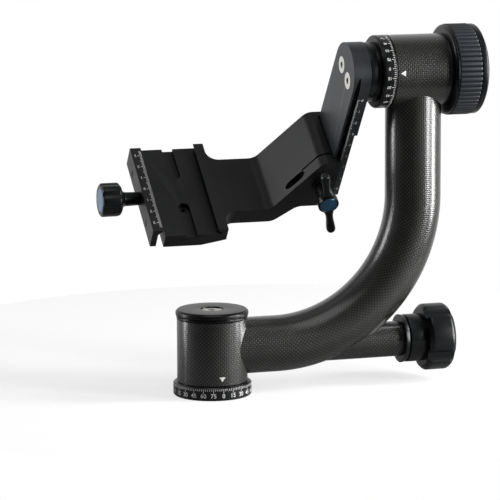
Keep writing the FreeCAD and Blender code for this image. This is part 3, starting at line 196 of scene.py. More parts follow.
def moulded(name, colour, rough, shine=0.5):
    """Rubber or polymer with a fine moulded grain."""
    material, tree, shader = new_material(name)
    shader.inputs["Specular IOR Level"].default_value = shine
    fine = noise(tree, 2600.0, 3.0)
    cloud = noise(tree, 60.0, 3.0)
    low = tuple(0.8 * c for c in colour)
    high = tuple(1.25 * c for c in colour)
    link(tree, ramp(tree, cloud, [(0.3, low), (0.7, high)]), shader.inputs["Base Color"])
    link(tree, spread(tree, fine, rough - 0.07, rough + 0.07), shader.inputs["Roughness"])
    bump(tree, shader, fine, 0.35, 0.00004)
    return material


def paint(name, colour):
    """Printed or engraved marks filled with paint, a little uneven."""
    material, tree, shader = new_material(name)
    patchy = noise(tree, 1800.0, 3.0)
    low = tuple(0.72 * c for c in colour)
    link(tree, ramp(tree, patchy, [(0.35, low), (0.6, colour)]), shader.inputs["Base Color"])
    link(tree, spread(tree, patchy, 0.45, 0.65), shader.inputs["Roughness"])
    return material


def cell_wave(tree, cells):
    """0 at each cell's borders and 1 in its middle."""
    return math_node(tree, "ABSOLUTE", math_node(tree, "SINE", math_node(tree, "MULTIPLY", cells, math.pi)))


def carbon_weave(name, cell):
    """Plain woven carbon under a clear gloss coat; the UV map runs along and round the tube in cells."""
    material, tree, shader = new_material(name)
    shader.inputs["Coat Weight"].default_value = 1.0
    shader.inputs["Coat Roughness"].default_value = 0.16
    shader.inputs["Coat IOR"].default_value = 1.45
    shader.inputs["Specular IOR Level"].default_value = 0.2
    weave_map = tree.nodes.new("ShaderNodeUVMap")
    weave_map.uv_map = "weave"
    parts = tree.nodes.new("ShaderNodeSeparateXYZ")
    link(tree, weave_map.outputs["UV"], parts.inputs["Vector"])
    along = math_node(tree, "DIVIDE", parts.outputs["X"], cell)
    around = math_node(tree, "DIVIDE", parts.outputs["Y"], cell)
    steps = math_node(tree, "ADD", math_node(tree, "FLOOR", along), math_node(tree, "FLOOR", around))
    over = math_node(tree, "PINGPONG", steps, 1.0)
    along_wave = cell_wave(tree, along)
    around_wave = cell_wave(tree, around)
    # A tow that lies on top is round across itself and dips where it goes under its neighbours
    under = math_node(tree, "SUBTRACT", 1.0, over)
    both = math_node(tree, "MULTIPLY", along_wave, around_wave)
    height = math_node(tree, "POWER", both, 0.6)
    strands = noise(tree, 9000.0, 2.0)
    # Painted light: each tow's colour is lighter along its middle (a painted highlight) and darker where it
    # dips under its neighbours (painted shade). Tows lying along are painted far lighter than those across, a
    # painted sheen.
    warp = math_node(tree, "MULTIPLY", over, math_node(tree, "POWER", around_wave, 0.7))
    weft = math_node(tree, "MULTIPLY", under, math_node(tree, "POWER", along_wave, 0.7))
    warp_painted_sheen = math_node(tree, "MULTIPLY", warp, 0.95)
    weft_painted_sheen = math_node(tree, "MULTIPLY", weft, 0.1)
    weave_painted_sheen = math_node(tree, "ADD", warp_painted_sheen, weft_painted_sheen)
    uneven = noise(tree, 160.0, 4.0)
    weave_painted_sheen = math_node(tree, "MULTIPLY", weave_painted_sheen, spread(tree, uneven, 0.55, 1.3))
    weave_painted_sheen = math_node(tree, "MULTIPLY", weave_painted_sheen, spread(tree, strands, 0.75, 1.2))
    # The weave's colour follows this painted sheen and shade; the two noises on it vary the tone at random
    colour = ramp(
        tree, weave_painted_sheen,
        [(0.0, (0.0003, 0.0003, 0.0003)), (0.3, (0.0015, 0.0015, 0.0014)), (1.0, (0.03, 0.0285, 0.025))])
    link(tree, colour, shader.inputs["Base Color"])
    link(tree, spread(tree, weave_painted_sheen, 0.5, 0.3), shader.inputs["Roughness"])
    bump(tree, shader, height, 0.5, 0.00025)
    bump(tree, shader, height, 0.3, 0.0001, "Coat Normal")
    return material


WEAVE_CELL = 1.3
CARBON = carbon_weave("carbon_weave", WEAVE_CELL)
BLACK = anodised("black_anodised", (0.0042, 0.0045, 0.005), 0.42, 0.1, 0.3)
RAIL_BLACK = anodised("rail_anodised", (0.03, 0.033, 0.037), 0.4)
KNOB_BLACK = anodised("knob_anodised", (0.0032, 0.0037, 0.0044), 0.3, 0.1, 0.3)
CAP_BLACK = anodised("cap_anodised", (0.003, 0.0032, 0.0035), 0.3, 0.1, 0.22)
NICKEL = bare_metal("nickel_screws", (0.74, 0.72, 0.68), 0.32)
STEEL = bare_metal("plain_steel", (0.62, 0.63, 0.65), 0.28)
BEARING = bare_metal("ground_steel", (0.75, 0.76, 0.78), 0.12)
ALUMINIUM = bare_metal("turned_aluminium", (0.7, 0.71, 0.73), 0.3, (1.0, 1.0, 12.0))
BRASS = bare_metal("turned_brass", (0.72, 0.55, 0.28), 0.3)
POLYMER = moulded("sliding_polymer", (0.72, 0.7, 0.64), 0.45)
RUBBER = moulded("ribbed_rubber", (0.006, 0.0085, 0.0115), 0.45, 0.3)
BLUE = anodised("blue_disc", (0.035, 0.105, 0.19), 0.3)
PALE_BLUE = anodised("pale_blue_disc", (0.09, 0.16, 0.26), 0.32)
WHITE = paint("white_marks", (0.6, 0.6, 0.58))

SLOT_MATERIAL = {
    "carbon_fibre": CARBON,
    "black_anodised": BLACK,
    "bare_aluminium": ALUMINIUM,
    "steel": STEEL,
    "bearing_steel": BEARING,
    "brass": BRASS,
    "polymer": POLYMER,
    "rubber_grip": RUBBER,
    "blue_anodised": BLUE,
}
NODE_MATERIAL = {
    "rail_screws": NICKEL,
    "cap_screw": NICKEL,
    "pan_cap": CAP_BLACK,
    "clamp_knob_disc": PALE_BLUE,
    "tilt_dial": KNOB_BLACK,
    "pan_base": KNOB_BLACK,
    "bed_screw": BLACK,
    "jaw_guide_pins": BLACK,
    "lever_washer": BLACK,
}
slot_of = {entry["node"]: entry["material_slot"] for entry in frame["record"]["subparts"]}
body_of = {
    node: body for body, members in frame["record"]["behaviour"]["bodies"].items() for node in members}
for name, thing in nodes.items():
    material = NODE_MATERIAL.get(name, SLOT_MATERIAL[slot_of[name]])
    thing.data.materials.clear()
    thing.data.materials.append(material)


# Mesh helpers
def build(name, verts, faces, matrix, material, body, smooth=30.0, uvs=None):
    """A mesh from millimetre points, placed in the row frame and riding on its body."""
    mesh = bpy.data.meshes.new(name)
    mesh.from_pydata([tuple(MM * c for c in matrix @ Vector(v)) for v in verts], [], faces)
    if uvs is not None:
        layer = mesh.uv_layers.new(name="weave")
        for polygon, corners in zip(mesh.polygons, uvs):
            for loop_index, corner in zip(polygon.loop_indices, corners):
                layer.data[loop_index].uv = corner
    work = bmesh.new()
    work.from_mesh(mesh)
    bmesh.ops.recalc_face_normals(work, faces=work.faces)
    for edge in work.edges:
        if len(edge.link_faces) == 2:
            edge.smooth = edge.calc_face_angle(0.0) < math.radians(smooth)
    for face in work.faces:
        face.smooth = True
    work.to_mesh(mesh)
    work.free()
    mesh.materials.append(material)
    thing = bpy.data.objects.new(name, mesh)
    bpy.context.scene.collection.objects.link(thing)
    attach(thing, body)
    return thing


def soften(profile, width, steps=3):
    """Round each corner of a closed half section; corners on the axis stay."""
    rounded = []
    count = len(profile)
    for index, corner in enumerate(profile):
        point = Vector(corner)
        before = Vector(profile[index - 1]) - point
        after = Vector(profile[(index + 1) % count]) - point
        size = min(width, 0.42 * before.length, 0.42 * after.length)
        if corner[1] < 1e-6 or size < 0.02:
            rounded.append(tuple(point))
            continue
        start = point + before.normalized() * size
        end = point + after.normalized() * size
        for step in range(steps + 1):
            t = step / steps
            rounded.append(tuple((1 - t) ** 2 * start + 2 * t * (1 - t) * point + t * t * end))
    return rounded


def lathe(profile, segments, reach=None):
    """Points and faces of a closed half section (along, radius) turned about Z."""
    verts = []
    rings = []
    for along, radius in profile:
        if radius < 1e-6:
            rings.append([len(verts)] * segments)
            verts.append((0.0, 0.0, along))
            continue
        ring = []
        for step in range(segments):
            angle = 2 * math.pi * step / segments
            true = reach(angle, along, radius) if reach else radius
            ring.append(len(verts))
            verts.append((true * math.cos(angle), true * math.sin(angle), along))
        rings.append(ring)
    faces = []
    count = len(rings)
    for index in range(count):
        one, two = rings[index], rings[(index + 1) % count]
        for step in range(segments):
            after = (step + 1) % segments
            corners = [one[step], one[after], two[after], two[step]]
            kept = [c for place, c in enumerate(corners) if c != corners[place - 1]]
            if len(set(kept)) >= 3:
                faces.append(kept)
    return verts, faces


def turned(name, profile, matrix, material, body, replaces=None, width=0.35, segments=128,
           reach=None):
    """A turned piece from its half section, with its corners rounded by a width."""
    verts, faces = lathe(soften(profile, width), segments, reach)
    thing = build(name, verts, faces, matrix, material, body)
    if replaces:
        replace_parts(thing, replaces)


SHARP_ANGLE = math.radians(32.0)
FLAT_ANGLE = math.radians(0.6)


def dressed(node, width):
    """A copy of a CAD solid with its sharp edges broken; the copy stands for the node."""
    mesh = nodes[node].data.copy()
    mesh.name = node + "_eased"
    work = bmesh.new()
    work.from_mesh(mesh)
    bmesh.ops.remove_doubles(work, verts=work.verts, dist=1e-7)
    bmesh.ops.dissolve_limit(work, angle_limit=math.radians(0.5), verts=work.verts, edges=work.edges)
    weights = work.edges.layers.float.new("bevel_weight_edge")
    for edge in work.edges:
        if len(edge.link_faces) == 2 and edge.calc_face_angle(0.0) > SHARP_ANGLE:
            edge[weights] = 1.0
        edge.smooth = True
    # A face with no gently turned neighbour is a true flat and is shaded flat
    for face in work.faces:
        bends = [edge.calc_face_angle(0.0) for edge in face.edges if len(edge.link_faces) == 2]
        face.smooth = any(FLAT_ANGLE < bend < SHARP_ANGLE for bend in bends)
    work.to_mesh(mesh)
    work.free()
    thing = bpy.data.objects.new(node + "_eased", mesh)
    bpy.context.scene.collection.objects.link(thing)
    ease = thing.modifiers.new("eased edges", "BEVEL")
    ease.limit_method = "WEIGHT"
    ease.width = width * MM
    ease.segments = 2
    ease.use_clamp_overlap = True
    weighted = thing.modifiers.new("even flats", "WEIGHTED_NORMAL")
    weighted.mode = "FACE_AREA_WITH_ANGLE"
    weighted.weight = 60
    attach(thing, body_of[node])
    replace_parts(thing, node)
    return thing


# Carbon arm
def tube_shell(name, stations, radius, segments=96):
    """A hollow tube through stations of (centre, across, up, length so far), with its weave map."""
    verts = []
    faces = []
    uvs = []
    for inner in (False, True):
        size = radius - WALL if inner else radius
        for centre, across, up, _ in stations:
            for step in range(segments):
                angle = 2 * math.pi * step / segments
                verts.append(tuple(centre + size * (math.cos(angle) * across + math.sin(angle) * up)))
    count = len(stations)
    turn = 2 * math.pi * radius
    # A whole number of cells goes round, so that the weave closes on itself
    whole = 2 * round(turn / (2 * WEAVE_CELL)) * WEAVE_CELL

    def corner(station, step):
        return (stations[station][3], whole * step / segments)

    for layer in range(2):
        base = layer * count * segments
        for station in range(count - 1):
            for step in range(segments):
                after = (step + 1) % segments
                face = [base + station * segments + step, base + station * segments + after,
                        base + (station + 1) * segments + after, base + (station + 1) * segments + step]
                faces.append(face)
                uvs.append([corner(station, step), corner(station, step + 1),
                            corner(station + 1, step + 1), corner(station + 1, step)])
    for station in (0, count - 1):
        for step in range(segments):
            after = (step + 1) % segments
            outer = station * segments
            inner = (count + station) * segments
            faces.append([outer + step, outer + after, inner + after, inner + step])
            uvs.append([corner(station, step), corner(station, step + 1),
                        corner(station, step + 1), corner(station, step)])
    return build(name, verts, faces, UPRIGHT, CARBON, "arm", 40.0, uvs)


def straight(start, end, across, up, steps):
    """Stations along a straight tube."""
    start, end = Vector(start), Vector(end)
    length = (end - start).length
    return [(start.lerp(end, i / steps), Vector(across), Vector(up), length * i / steps)
            for i in range(steps + 1)]


tube_shell(
    "carbon_sleeve",
    straight((0, 0, SLEEVE_BOTTOM), (0, 0, SLEEVE_TOP), (1, 0, 0), (0, 1, 0), 24),
    SLEEVE_RADIUS, 128)
tube_shell(
    "carbon_hub",
    straight((HUB_START, 0, TILT_HEIGHT), (HUB_END, 0, TILT_HEIGHT), (0, 1, 0), (0, 0, 1), 24),
    HUB_RADIUS, 128)
tube_shell(
    "carbon_branch",
    straight((BRANCH_START, 0, LOCK_HEIGHT), (BRANCH_END, 0, LOCK_HEIGHT), (0, 1, 0), (0, 0, 1), 16),
    BRANCH_RADIUS, 72)
bend_x = ARM_REACH - BEND_RADIUS
bend_z = ARM_HEIGHT + BEND_RADIUS
ACROSS = (0, 1, 0)
low_run = bend_x - TUBE_START
# The bend and the upright start where the piece before them ends, so the last low station is left out
stations = straight((TUBE_START, 0, ARM_HEIGHT), (bend_x, 0, ARM_HEIGHT), ACROSS, (0, 0, 1), 8)[:-1]
BEND_STEPS = 64
for step in range(BEND_STEPS + 1):
    angle = math.pi / 2 * step / BEND_STEPS
    centre = Vector((bend_x + BEND_RADIUS * math.sin(angle), 0, bend_z - BEND_RADIUS * math.cos(angle)))
    inward = Vector((-math.sin(angle), 0, math.cos(angle)))
    stations.append((centre, Vector(ACROSS), inward, low_run + BEND_RADIUS * angle))
before = low_run + BEND_RADIUS * math.pi / 2
upright = straight((ARM_REACH, 0, bend_z), (ARM_REACH, 0, TUBE_TOP), ACROSS, (-1, 0, 0), 16)[1:]
stations += [(centre, across, up, before + run) for centre, across, up, run in upright]
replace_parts(tube_shell("carbon_tube", stations, ARM_RADIUS), "carbon_frame")

# Base, cap and collars
turned(
    "pan_cap_turned",
    [(47.6, 4.05), (47.6, 9.5), (49.2, 9.5), (49.2, 22.3), (49.5, 22.6), (50.6, 22.6), (50.6, 21.5),
     (51.2, 21.5), (51.2, 23.1), (53.4, 23.1), (54.7, 21.8), (54.7, 7.25), (53.9, 7.25), (50.7, 4.05)],
    UPRIGHT, CAP_BLACK, "base", "pan_cap", 0.3, 160)
turned(
    "stub_collar_turned",
    [(BRANCH_END, 7.05), (BRANCH_END, 15.7), (128.2, 15.2), (128.2, 7.05)],
    LOCK_AXIS, KNOB_BLACK, "arm", "stub_collar", 0.3)


FADE_START = 9
FADE_RUN = 4


def lobes(count, first, depth, width):
    """Reach of a lobed outline: round lobes with scooped valleys that fade towards the axis."""

    def reach(angle, along, radius):
        turn = (angle - first) * count / (2 * math.pi)
        off = abs((turn + 0.5) % 1.0 - 0.5) * 2
        valley = max(0.0, (off - width) / (1 - width))
        fade = min(1.0, max(0.0, (radius - FADE_START) / FADE_RUN))
        return radius - depth * (0.5 - 0.5 * math.cos(math.pi * valley)) * fade

    return reach


SCOOP_EASE = 0.9


def scoops(count, first, outer, size, depth):
    """Reach of a disc with round scoops cut into its rim, their edges a little eased."""
    middle = outer + size - depth

    def reach(angle, along, radius):
        step = 2 * math.pi / count
        off = (angle - first + step / 2) % step - step / 2
        aside = middle * math.sin(off)
        if abs(aside) >= size or radius < size:
            return radius
        cut_to = middle * math.cos(off) - math.sqrt(size * size - aside * aside)
        blend = max(0.0, 1 - abs(radius - cut_to) / SCOOP_EASE)
        return min(radius, cut_to) - SCOOP_EASE / 4 * blend * blend

    return reach


turned(
    "lock_knob_hub",
    [(129.1, 5.05), (129.1, 15.4), (140.6, 15.4), (140.6, 5.05)],
    LOCK_AXIS, KNOB_BLACK, "pan_lock_knob", None, 0.5)
turned(
    "lock_knob_lobed",
    [(140.0, 5.05), (140.0, 19.3), (142.2, LOCK_KNOB_RADIUS), (155.4, LOCK_KNOB_RADIUS), (157.4, 20.2),
     (158.4, 18.4), (158.4, 12.1), (157.4, 12.1), (157.4, 5.05)],
    LOCK_AXIS, KNOB_BLACK, "pan_lock_knob", "lock_knob", 0.7, 288,
    scoops(4, math.radians(29.0), LOCK_KNOB_RADIUS, 6.0, 3.4))

# Tilt boss, dial, lock knob and grip
turned(
    "tilt_shaft_turned",
    [(99.8, 0), (99.8, 18.45), (100.3, 18.95), (104.3, 18.95), (104.3, 18.3), (105.2, 18.3), (105.2, 18.95),
     (107.2, 18.95), (107.2, 14.0), (115.9, 14.0), (115.9, 10.5), (119.0, 10.5), (119.0, 8.45),
     (151.0, 8.45), (151.0, 7.0), (166.6, 7.0), (166.6, 0)],
    AXIS_X, KNOB_BLACK, "swing", "tilt_shaft", 0.25)
turned(
    "tilt_dial_turned",
    [(107.2, 14.05), (107.2, 22.4), (108.0, 23.2), (115.6, 23.2), (115.9, 22.9), (115.9, 14.05)],
    AXIS_X, KNOB_BLACK, "swing", "tilt_dial", 0.3, 160)
turned(
    "tilt_knob_turned",
    [(153.6, 7.05), (153.6, 26.7), (154.1, 27.9), (155.0, 28.7), (155.7, 28.7), (155.7, 26.55),
     (171.1, 26.55), (171.1, 28.8), (174.8, 28.8), (176.9, 25.0), (176.9, 19.0), (175.3, 19.0),
     (175.3, 12.3), (165.4, 12.3), (165.4, 7.05)],
    AXIS_X, KNOB_BLACK, "tilt_lock_knob", "tilt_knob_core", 0.7, 192)
RIBS = 54
RIB_DEPTH = 0.85
GRIP_SKIN = 28.0


def ribbed(angle, along, radius):
    """Round ribs with narrow grooves, only on the outer skin."""
    if radius < GRIP_SKIN:
        return radius
    wave = abs(math.sin(angle * RIBS / 2))
    return radius - RIB_DEPTH * (1 - wave) ** 1.8


turned(
    "tilt_grip_ribbed",
    [(155.8, 26.75), (155.8, 28.65), (156.4, 29.15), (170.4, 29.15), (171.0, 28.65), (171.0, 26.75)],
    AXIS_X, RUBBER, "tilt_lock_knob", "tilt_grip", 0.4, RIBS * 12, ribbed)

# Clamp knob with its flutes and neck
turned(
    "clamp_knob_fluted",
    [(-55.0, 0), (-55.0, 8.2), (-55.8, 8.2), (-55.8, 9.7), (-54.6, 11.05), (-43.9, 11.05), (-42.5, 9.6),
     (-41.2, 6.0), (-39.6, 4.6), (-29.5, 4.3), (-29.5, 0)],
    CLAMP_AXIS, KNOB_BLACK, "clamp_knob", "clamp_knob", 0.5, 210,
    lobes(7, math.radians(90), 1.9, 0.35))

# Machined pieces with broken edges
rail = dressed("swing_rail", 0.35)
rail.data.materials[0] = RAIL_BLACK
dressed("cradle", 0.45)
dressed("clamp_jaw", 0.4)
dressed("pan_base", 0.3)


# Wing lever
def loft(name, sections, matrix, material, body):
    """A closed skin through rings of points."""
    verts = [p for ring in sections for p in ring]
    size = len(sections[0])
    faces = []
    for index in range(len(sections) - 1):
        for step in range(size):
            after = (step + 1) % size
            faces.append([index * size + step, index * size + after,
                          (index + 1) * size + after, (index + 1) * size + step])
    faces.append(list(range(size)))
    faces.append([(len(sections) - 1) * size + step for step in reversed(range(size))])
    return build(name, verts, faces, matrix, material, body, 60.0)


WING_REACH = 27.4
WING_TIP = 2.95
WING_WAIST = 2.3
WING_ROOT = 5.0
WING_LEAN = math.radians(3)
WING_START = 3.0
WING_HALF_THICK = 2.25
WING_SINK = 39.0


def ease_between(one, two, t):
    """From one value to another with level ends."""
    return one + (two - one) * (0.5 - 0.5 * math.cos(math.pi * t))


def wing_half(run):
    """Half width of a wing at a distance from the lever's axis: root, waist, bulb and round end."""
    waist_at = WING_REACH / 2
    bulb_at = WING_REACH - WING_TIP
    if run < waist_at:
        return ease_between(WING_ROOT, WING_WAIST, run / waist_at)
    if run < bulb_at:
        return ease_between(WING_WAIST, WING_TIP, (run - waist_at) / (bulb_at - waist_at))
    past = min(1.0, (run - bulb_at) / WING_TIP)
    return WING_TIP * math.sqrt(1 - past * past) + 0.02


def wing(name, turn):
    """One wing from the lever's head, leaned a little outwards."""
    sections = []
    bulb_at = WING_REACH - WING_TIP
    runs = [WING_START + (bulb_at - WING_START) * i / 20 for i in range(21)]
    runs += [WING_REACH - WING_TIP * (1 - math.sin(math.pi / 2 * i / 8)) for i in range(1, 9)]
    for run in runs:
        half = wing_half(run)
        thick = min(WING_HALF_THICK, 0.5 + half)
        centre = Vector((run * math.cos(WING_LEAN), -run * math.sin(WING_LEAN), 0.0))
        ring = []
        for corner in range(24):
            angle = 2 * math.pi * corner / 24
            c, s = math.cos(angle), math.sin(angle)
            flat = math.copysign(abs(c) ** 0.6, c) * half
            deep = math.copysign(abs(s) ** 0.6, s) * thick
            aside = Vector((deep * math.sin(WING_LEAN), deep * math.cos(WING_LEAN), flat))
            ring.append(tuple(centre + aside))
        sections.append(ring)
    middle = Matrix.Translation((LEVER_X, -WING_SINK, -LEVER_DROP))
    matrix = ON_SWING @ middle @ Matrix.Rotation(turn, 4, "Y")
    loft(name, sections, matrix, KNOB_BLACK, "lever")


wing("lever_wing_low", math.radians(74))
wing("lever_wing_high", math.radians(254))
turned(
    "lever_head",
    [(24.75, 3.05), (24.75, 5.1), (35.6, 5.1), (37.4, 6.8), (42.3, 6.8), (42.3, 5.75), (41.5, 5.75),
     (41.5, 3.05)],
    LEVER_AXIS, KNOB_BLACK, "lever", "wing_lever", 0.5, 96)


# Springs of the moving jaw
COIL_TURNS = 4
COIL_STEPS = 28
COIL_START = -24.85
COIL_LENGTH = 4.4
COIL_RADIUS = 2.75
WIRE_RADIUS = 0.36
WIRE_CORNERS = 8


def coil(name, place):
    """A round wire wound about a guide pin, given by its place along the jaw."""
    sections = []
    count = COIL_TURNS * COIL_STEPS
    for index in range(count + 1):
        angle = 2 * math.pi * index / COIL_STEPS
        out = Vector((0, math.cos(angle), math.sin(angle)))
        centre = Vector((COIL_START + COIL_LENGTH * index / count, place, -CLAMP_DROP)) + COIL_RADIUS * out
        ring = []
        for corner in range(WIRE_CORNERS):
            bend = 2 * math.pi * corner / WIRE_CORNERS
            aside = math.cos(bend) * out + math.sin(bend) * Vector((1, 0, 0))
            ring.append(tuple(centre + WIRE_RADIUS * aside))
        sections.append(ring)
    return loft(name, sections, ON_SWING, STEEL, "jaw")


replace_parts(coil("jaw_spring_near", -22.0), "jaw_springs")
coil("jaw_spring_far", 22.0)


# Graduations
MARK = 0.05
TICK_HALF = 0.15
RAIL_TICK_HALF = 0.14
# Font size for figures one unit high
SIZE_PER_HEIGHT = 1.38


def strip(rows):
    """A closed bar through rows of four corners, as (points, faces)."""
    verts = [corner for row in rows for corner in row]
    faces = []
    for index in range(len(rows) - 1):
        one = 4 * index
        two = one + 4
        for k in range(4):
            faces.append([one + k, one + (k + 1) % 4, two + (k + 1) % 4, two + k])
    faces.append([0, 1, 2, 3])
    last = 4 * (len(rows) - 1)
    faces.append([last + 3, last + 2, last + 1, last])
    return verts, faces


def flat_bar(middle, half, low, high):
    """A thin raised tick on the unrolled surface."""
    return strip([
        [(u, low, -MARK), (u, high, -MARK), (u, high, MARK), (u, low, MARK)]
        for u in (middle - half, middle + half)])


def flat_text(text, size, u, v, turn):
    """Raised figures centred at u, v on the unrolled surface."""
    curve = bpy.data.curves.new("figures", "FONT")
    curve.body = text
    curve.size = size * SIZE_PER_HEIGHT
    curve.extrude = MARK
    curve.align_x = "CENTER"
    curve.align_y = "CENTER"
    curve.resolution_u = 3
    curve.offset = 0.012 * size
    holder = bpy.data.objects.new("figures", curve)
    bpy.context.scene.collection.objects.link(holder)
    bpy.context.view_layer.update()
    mesh = bpy.data.meshes.new_from_object(holder)
    c, s = math.cos(turn), math.sin(turn)
    verts = [(u + c * p.co.x - s * p.co.y, v + s * p.co.x + c * p.co.y, p.co.z) for p in mesh.vertices]
    faces = [list(polygon.vertices) for polygon in mesh.polygons]
    bpy.data.objects.remove(holder)
    bpy.data.curves.remove(curve)
    bpy.data.meshes.remove(mesh)
    return verts, faces


def flat_triangle(u, v, half, height, cuts=8):
    """A triangle that points to lower v, its tip at u, v."""
    rows = []
    for index in range(cuts + 1):
        across = -half + 2 * half * index / cuts
        high = v + height
        low = min(v + height * abs(across) / half, high - 0.02)
        at = u + across
        rows.append([(at, low, -MARK), (at, high, -MARK), (at, high, MARK), (at, low, MARK)])
    return strip(rows)


def marks(name, shapes, wrap, matrix, body):
    """Join flat shapes and wrap them on their surface."""
    verts = []
    faces = []
    for points, sides in shapes:
        base = len(verts)
        verts += [wrap(*p) for p in points]
        faces += [[base + i for i in side] for side in sides]
    build(name, verts, faces, matrix, WHITE, body, 30.0)


def round_wrap(radius):
    """Unrolled u, v to a cylinder about Z: u runs with the turn, v along the axis."""

    def wrap(u, v, h):
        angle = u / radius
        return ((radius + h) * math.cos(angle), (radius + h) * math.sin(angle), v)

    return wrap


FIGURE_STEP = 15
TICK_STEP = 3
QUARTER = 90


def dial(radius, figure_at, tick_from, tick_to, zero, size, upright):
    """Ticks and figures right round a ring: four quarters of 0 to 75."""
    shapes = []
    degree = math.radians(1) * radius
    for value in range(0, 360, TICK_STEP):
        share = 1.0 if value % FIGURE_STEP == 0 else 0.5
        reach_to = tick_from + (tick_to - tick_from) * share
        low, high = sorted((tick_from, reach_to))
        shapes.append(flat_bar((zero + value) * degree, TICK_HALF, low, high))
    turn = 0.0 if upright else -math.pi / 2
    for value in range(0, 360, FIGURE_STEP):
        shapes.append(flat_text(str(value % QUARTER), size, (zero + value) * degree, figure_at, turn))
    return shapes


NEAR = math.radians(-90)
marks(
    "pan_dial_marks",
    dial(BASE_RADIUS, 3.1, 7.7, 4.9, -90 + 0.7, 2.8, True),
    round_wrap(BASE_RADIUS), UPRIGHT, "base")
marks(
    "pan_index",
    [flat_triangle((NEAR + math.radians(0.4)) * SLEEVE_RADIUS, 11.8, 2.0, 2.9)],
    round_wrap(SLEEVE_RADIUS), UPRIGHT, "arm")
# On the tilt dial the lathe's first direction is +Y; the near side is half a turn round
HALF_TURN = 180
lean_degrees = math.degrees(TILT_REST)
marks(
    "tilt_dial_marks",
    dial(HUB_RADIUS, 110.7, 114.9, 112.6, HALF_TURN - 9.5 - lean_degrees, 1.95, False),
    round_wrap(HUB_RADIUS), AXIS_X, "swing")
marks(
    "tilt_index",
    [flat_triangle(math.radians(HALF_TURN - 1.5) * HUB_RADIUS, 118.0, 1.9, 3.3)],
    round_wrap(HUB_RADIUS), ON_TILT_AXIS @ ALONG_X, "arm")


def flat_wrap(origin, u_way, v_way, out):
    """Unrolled u, v to a plane."""
    origin, u_way, v_way, out = (Vector(p) for p in (origin, u_way, v_way, out))

    def wrap(u, v, h):
        return tuple(origin + u * u_way + v * v_way + h * out)

    return wrap


def tick_length(number, tenth, fifth, plain):
    """Length of a millimetre tick, longer at each fifth and tenth."""
    if number % 10 == 0:
        return tenth
    return fifth if number % 5 == 0 else plain


# Scale along both edges of the rail's wide part: ticks next to the undercut and figures beside them
RAIL_ZERO_DROP = 6
RAIL_TICKS = 86
for side, edge_name in ((-1, "near"), (1, "far")):
    shapes = []
    for step in range(RAIL_TICKS):
        tick_end = RAIL_FACE + tick_length(step, 1.9, 1.6, 1.1)
        shapes.append(flat_bar(-(RAIL_ZERO_DROP + step), RAIL_TICK_HALF, RAIL_FACE, tick_end))
    for step in range(0, 9):
        shapes.append(flat_text(str(step), 1.9, -(RAIL_ZERO_DROP + step * 10), 96.4, -math.pi / 2 * side))
    marks(
        "rail_scale_" + edge_name, shapes,
        flat_wrap((0, side * RAIL_HALF, 0), (0, 0, 1), (1, 0, 0), (0, side, 0)), ON_SWING, "swing")

# Scale on the moving jaw: figures towards the outer edge, ticks towards the lip
JAW_TICK_END = -22.7
shapes = []
for step in range(-34, 35):
    tick_start = JAW_TICK_END - tick_length(step, 3.0, 2.4, 1.7)
    shapes.append(flat_bar(step, TICK_HALF, tick_start, JAW_TICK_END))
for index in range(-3, 4):
    shapes.append(flat_text(str(abs(index)), 2.2, index * 10, -27.1, -math.pi / 2))
marks(
    "jaw_scale", shapes,
    flat_wrap((0, 0, -BED_DROP), (0, 1, 0), (1, 0, 0), (0, 0, 1)), ON_SWING, "jaw")

# Floor, backdrop colour, lamps and camera
FLOOR_CENTRE = Vector((0.07, 0.08, 0.0))
FLOOR_RADIUS = 0.3
FLOOR_SHADE = 0.3
FLOOR_GLOW = 0.66
floor_mesh = bpy.data.meshes.new("floor")
rim = []
for degrees in range(0, 360, 3):
    turn = math.radians(degrees)
    rim.append(FLOOR_CENTRE + FLOOR_RADIUS * Vector((math.cos(turn), math.sin(turn), 0.0)))
floor_mesh.from_pydata(rim, [], [list(range(len(rim)))])
floor = bpy.data.objects.new("floor", floor_mesh)
bpy.context.scene.collection.objects.link(floor)
MIRROR_SHARE = 0.75


def backdrop_share(tree, kind):
    """1 for camera rays, and up to MIRROR_SHARE for mirrored rays that look behind the object.

    The kind names the coordinates that tell the place: Object on the floor, Generated in the world.
    """
    rays = tree.nodes.new("ShaderNodeLightPath")
    place = tree.nodes.new("ShaderNodeTexCoord")
    parts = tree.nodes.new("ShaderNodeSeparateXYZ")
    link(tree, place.outputs[kind], parts.inputs["Vector"])
    behind = math_node(tree, "MULTIPLY", parts.outputs["Y"], 1.6, True)
    mirrored = math_node(
        tree, "MAXIMUM", rays.outputs["Is Glossy Ray"], rays.outputs["Is Transmission Ray"])
    mirrored = math_node(tree, "MULTIPLY", math_node(tree, "MULTIPLY", mirrored, behind), MIRROR_SHARE)
    return math_node(tree, "MAXIMUM", rays.outputs["Is Camera Ray"], mirrored)


floor_paint, tree, shader = new_material("floor_paint")
shader.inputs["Base Color"].default_value = (FLOOR_SHADE, FLOOR_SHADE, FLOOR_SHADE, 1)
shader.inputs["Roughness"].default_value = 0.9
shader.inputs["Emission Color"].default_value = (1, 1, 1, 1)
glow = math_node(tree, "MULTIPLY", backdrop_share(tree, "Object"), FLOOR_GLOW)
link(tree, glow, shader.inputs["Emission Strength"])
floor_mesh.materials.append(floor_paint)

world = bpy.data.worlds.new("studio")
bpy.context.scene.world = world
world.use_nodes = True
tree = world.node_tree
background = tree.nodes["Background"]
AMBIENT = 0.09
link(tree, spread(tree, backdrop_share(tree, "Generated"), AMBIENT, 1.0), background.inputs["Strength"])
background.inputs["Color"].default_value = (1, 1, 1, 1)

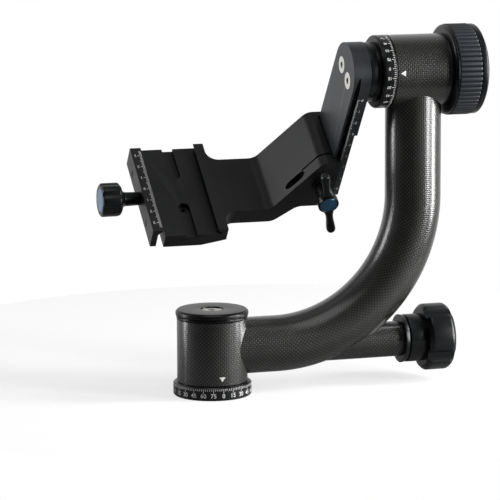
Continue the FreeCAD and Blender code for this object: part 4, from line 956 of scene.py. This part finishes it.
AZIMUTH = math.radians(16.7504)
PITCH = math.radians(9.3078)
ROLL = math.radians(-0.267)
PICTURE_PIXELS = 500
FOCAL_PIXELS = 2761.2
CAMERA_PLACE = Vector((-471.71, -1651.43, 373.56)) * MM
ahead = Vector((math.sin(AZIMUTH) * math.cos(PITCH), math.cos(AZIMUTH) * math.cos(PITCH), -math.sin(PITCH)))
level = Vector((math.cos(AZIMUTH), -math.sin(AZIMUTH), 0))
above = level.cross(ahead)
right = math.cos(ROLL) * level + math.sin(ROLL) * above
upward = -math.sin(ROLL) * level + math.cos(ROLL) * above
camera_data = bpy.data.cameras.new("camera")
camera_data.sensor_width = 36.0
camera_data.lens = FOCAL_PIXELS / PICTURE_PIXELS * camera_data.sensor_width
camera_data.clip_end = 50.0
camera = bpy.data.objects.new("camera", camera_data)
camera.matrix_world = Matrix.Translation(CAMERA_PLACE) @ Matrix(
    (right, upward, -ahead)).transposed().to_4x4()
bpy.context.scene.collection.objects.link(camera)
bpy.context.scene.camera = camera


def soft_box(name, place, aim, width, height, watts):
    """A rectangular lamp that faces a point; places and sizes are in metres."""
    lamp_data = bpy.data.lights.new(name, "AREA")
    lamp_data.shape = "RECTANGLE"
    lamp_data.size = width
    lamp_data.size_y = height
    lamp_data.energy = watts
    lamp = bpy.data.objects.new(name, lamp_data)
    way = Vector(aim) - Vector(place)
    lamp.matrix_world = Matrix.Translation(place) @ way.to_track_quat("-Z", "Y").to_matrix().to_4x4()
    bpy.context.scene.collection.objects.link(lamp)


centre = Vector((0.06, 0.0, 0.12))
side = Vector((level.x, level.y, 0))
front = -Vector((ahead.x, ahead.y, 0)).normalized()
up = Vector((0, 0, 1))
soft_box("right_box", centre + 0.95 * side + 0.2 * up, centre, 0.22, 0.9, 20.0)
soft_box(
    "fill_box", centre + 0.86 * side + 0.4 * front + 0.12 * up, centre - 0.08 * up, 0.2, 0.5, 10.0)
soft_box("left_box", centre - 1.05 * side - 0.1 * front + 0.1 * up, centre, 0.18, 0.9, 8.0)
soft_box("top_box", centre + 0.5 * front + 1.3 * up, centre, 0.9, 0.9, 4.5)

bpy.context.scene.view_settings.view_transform = "Standard"
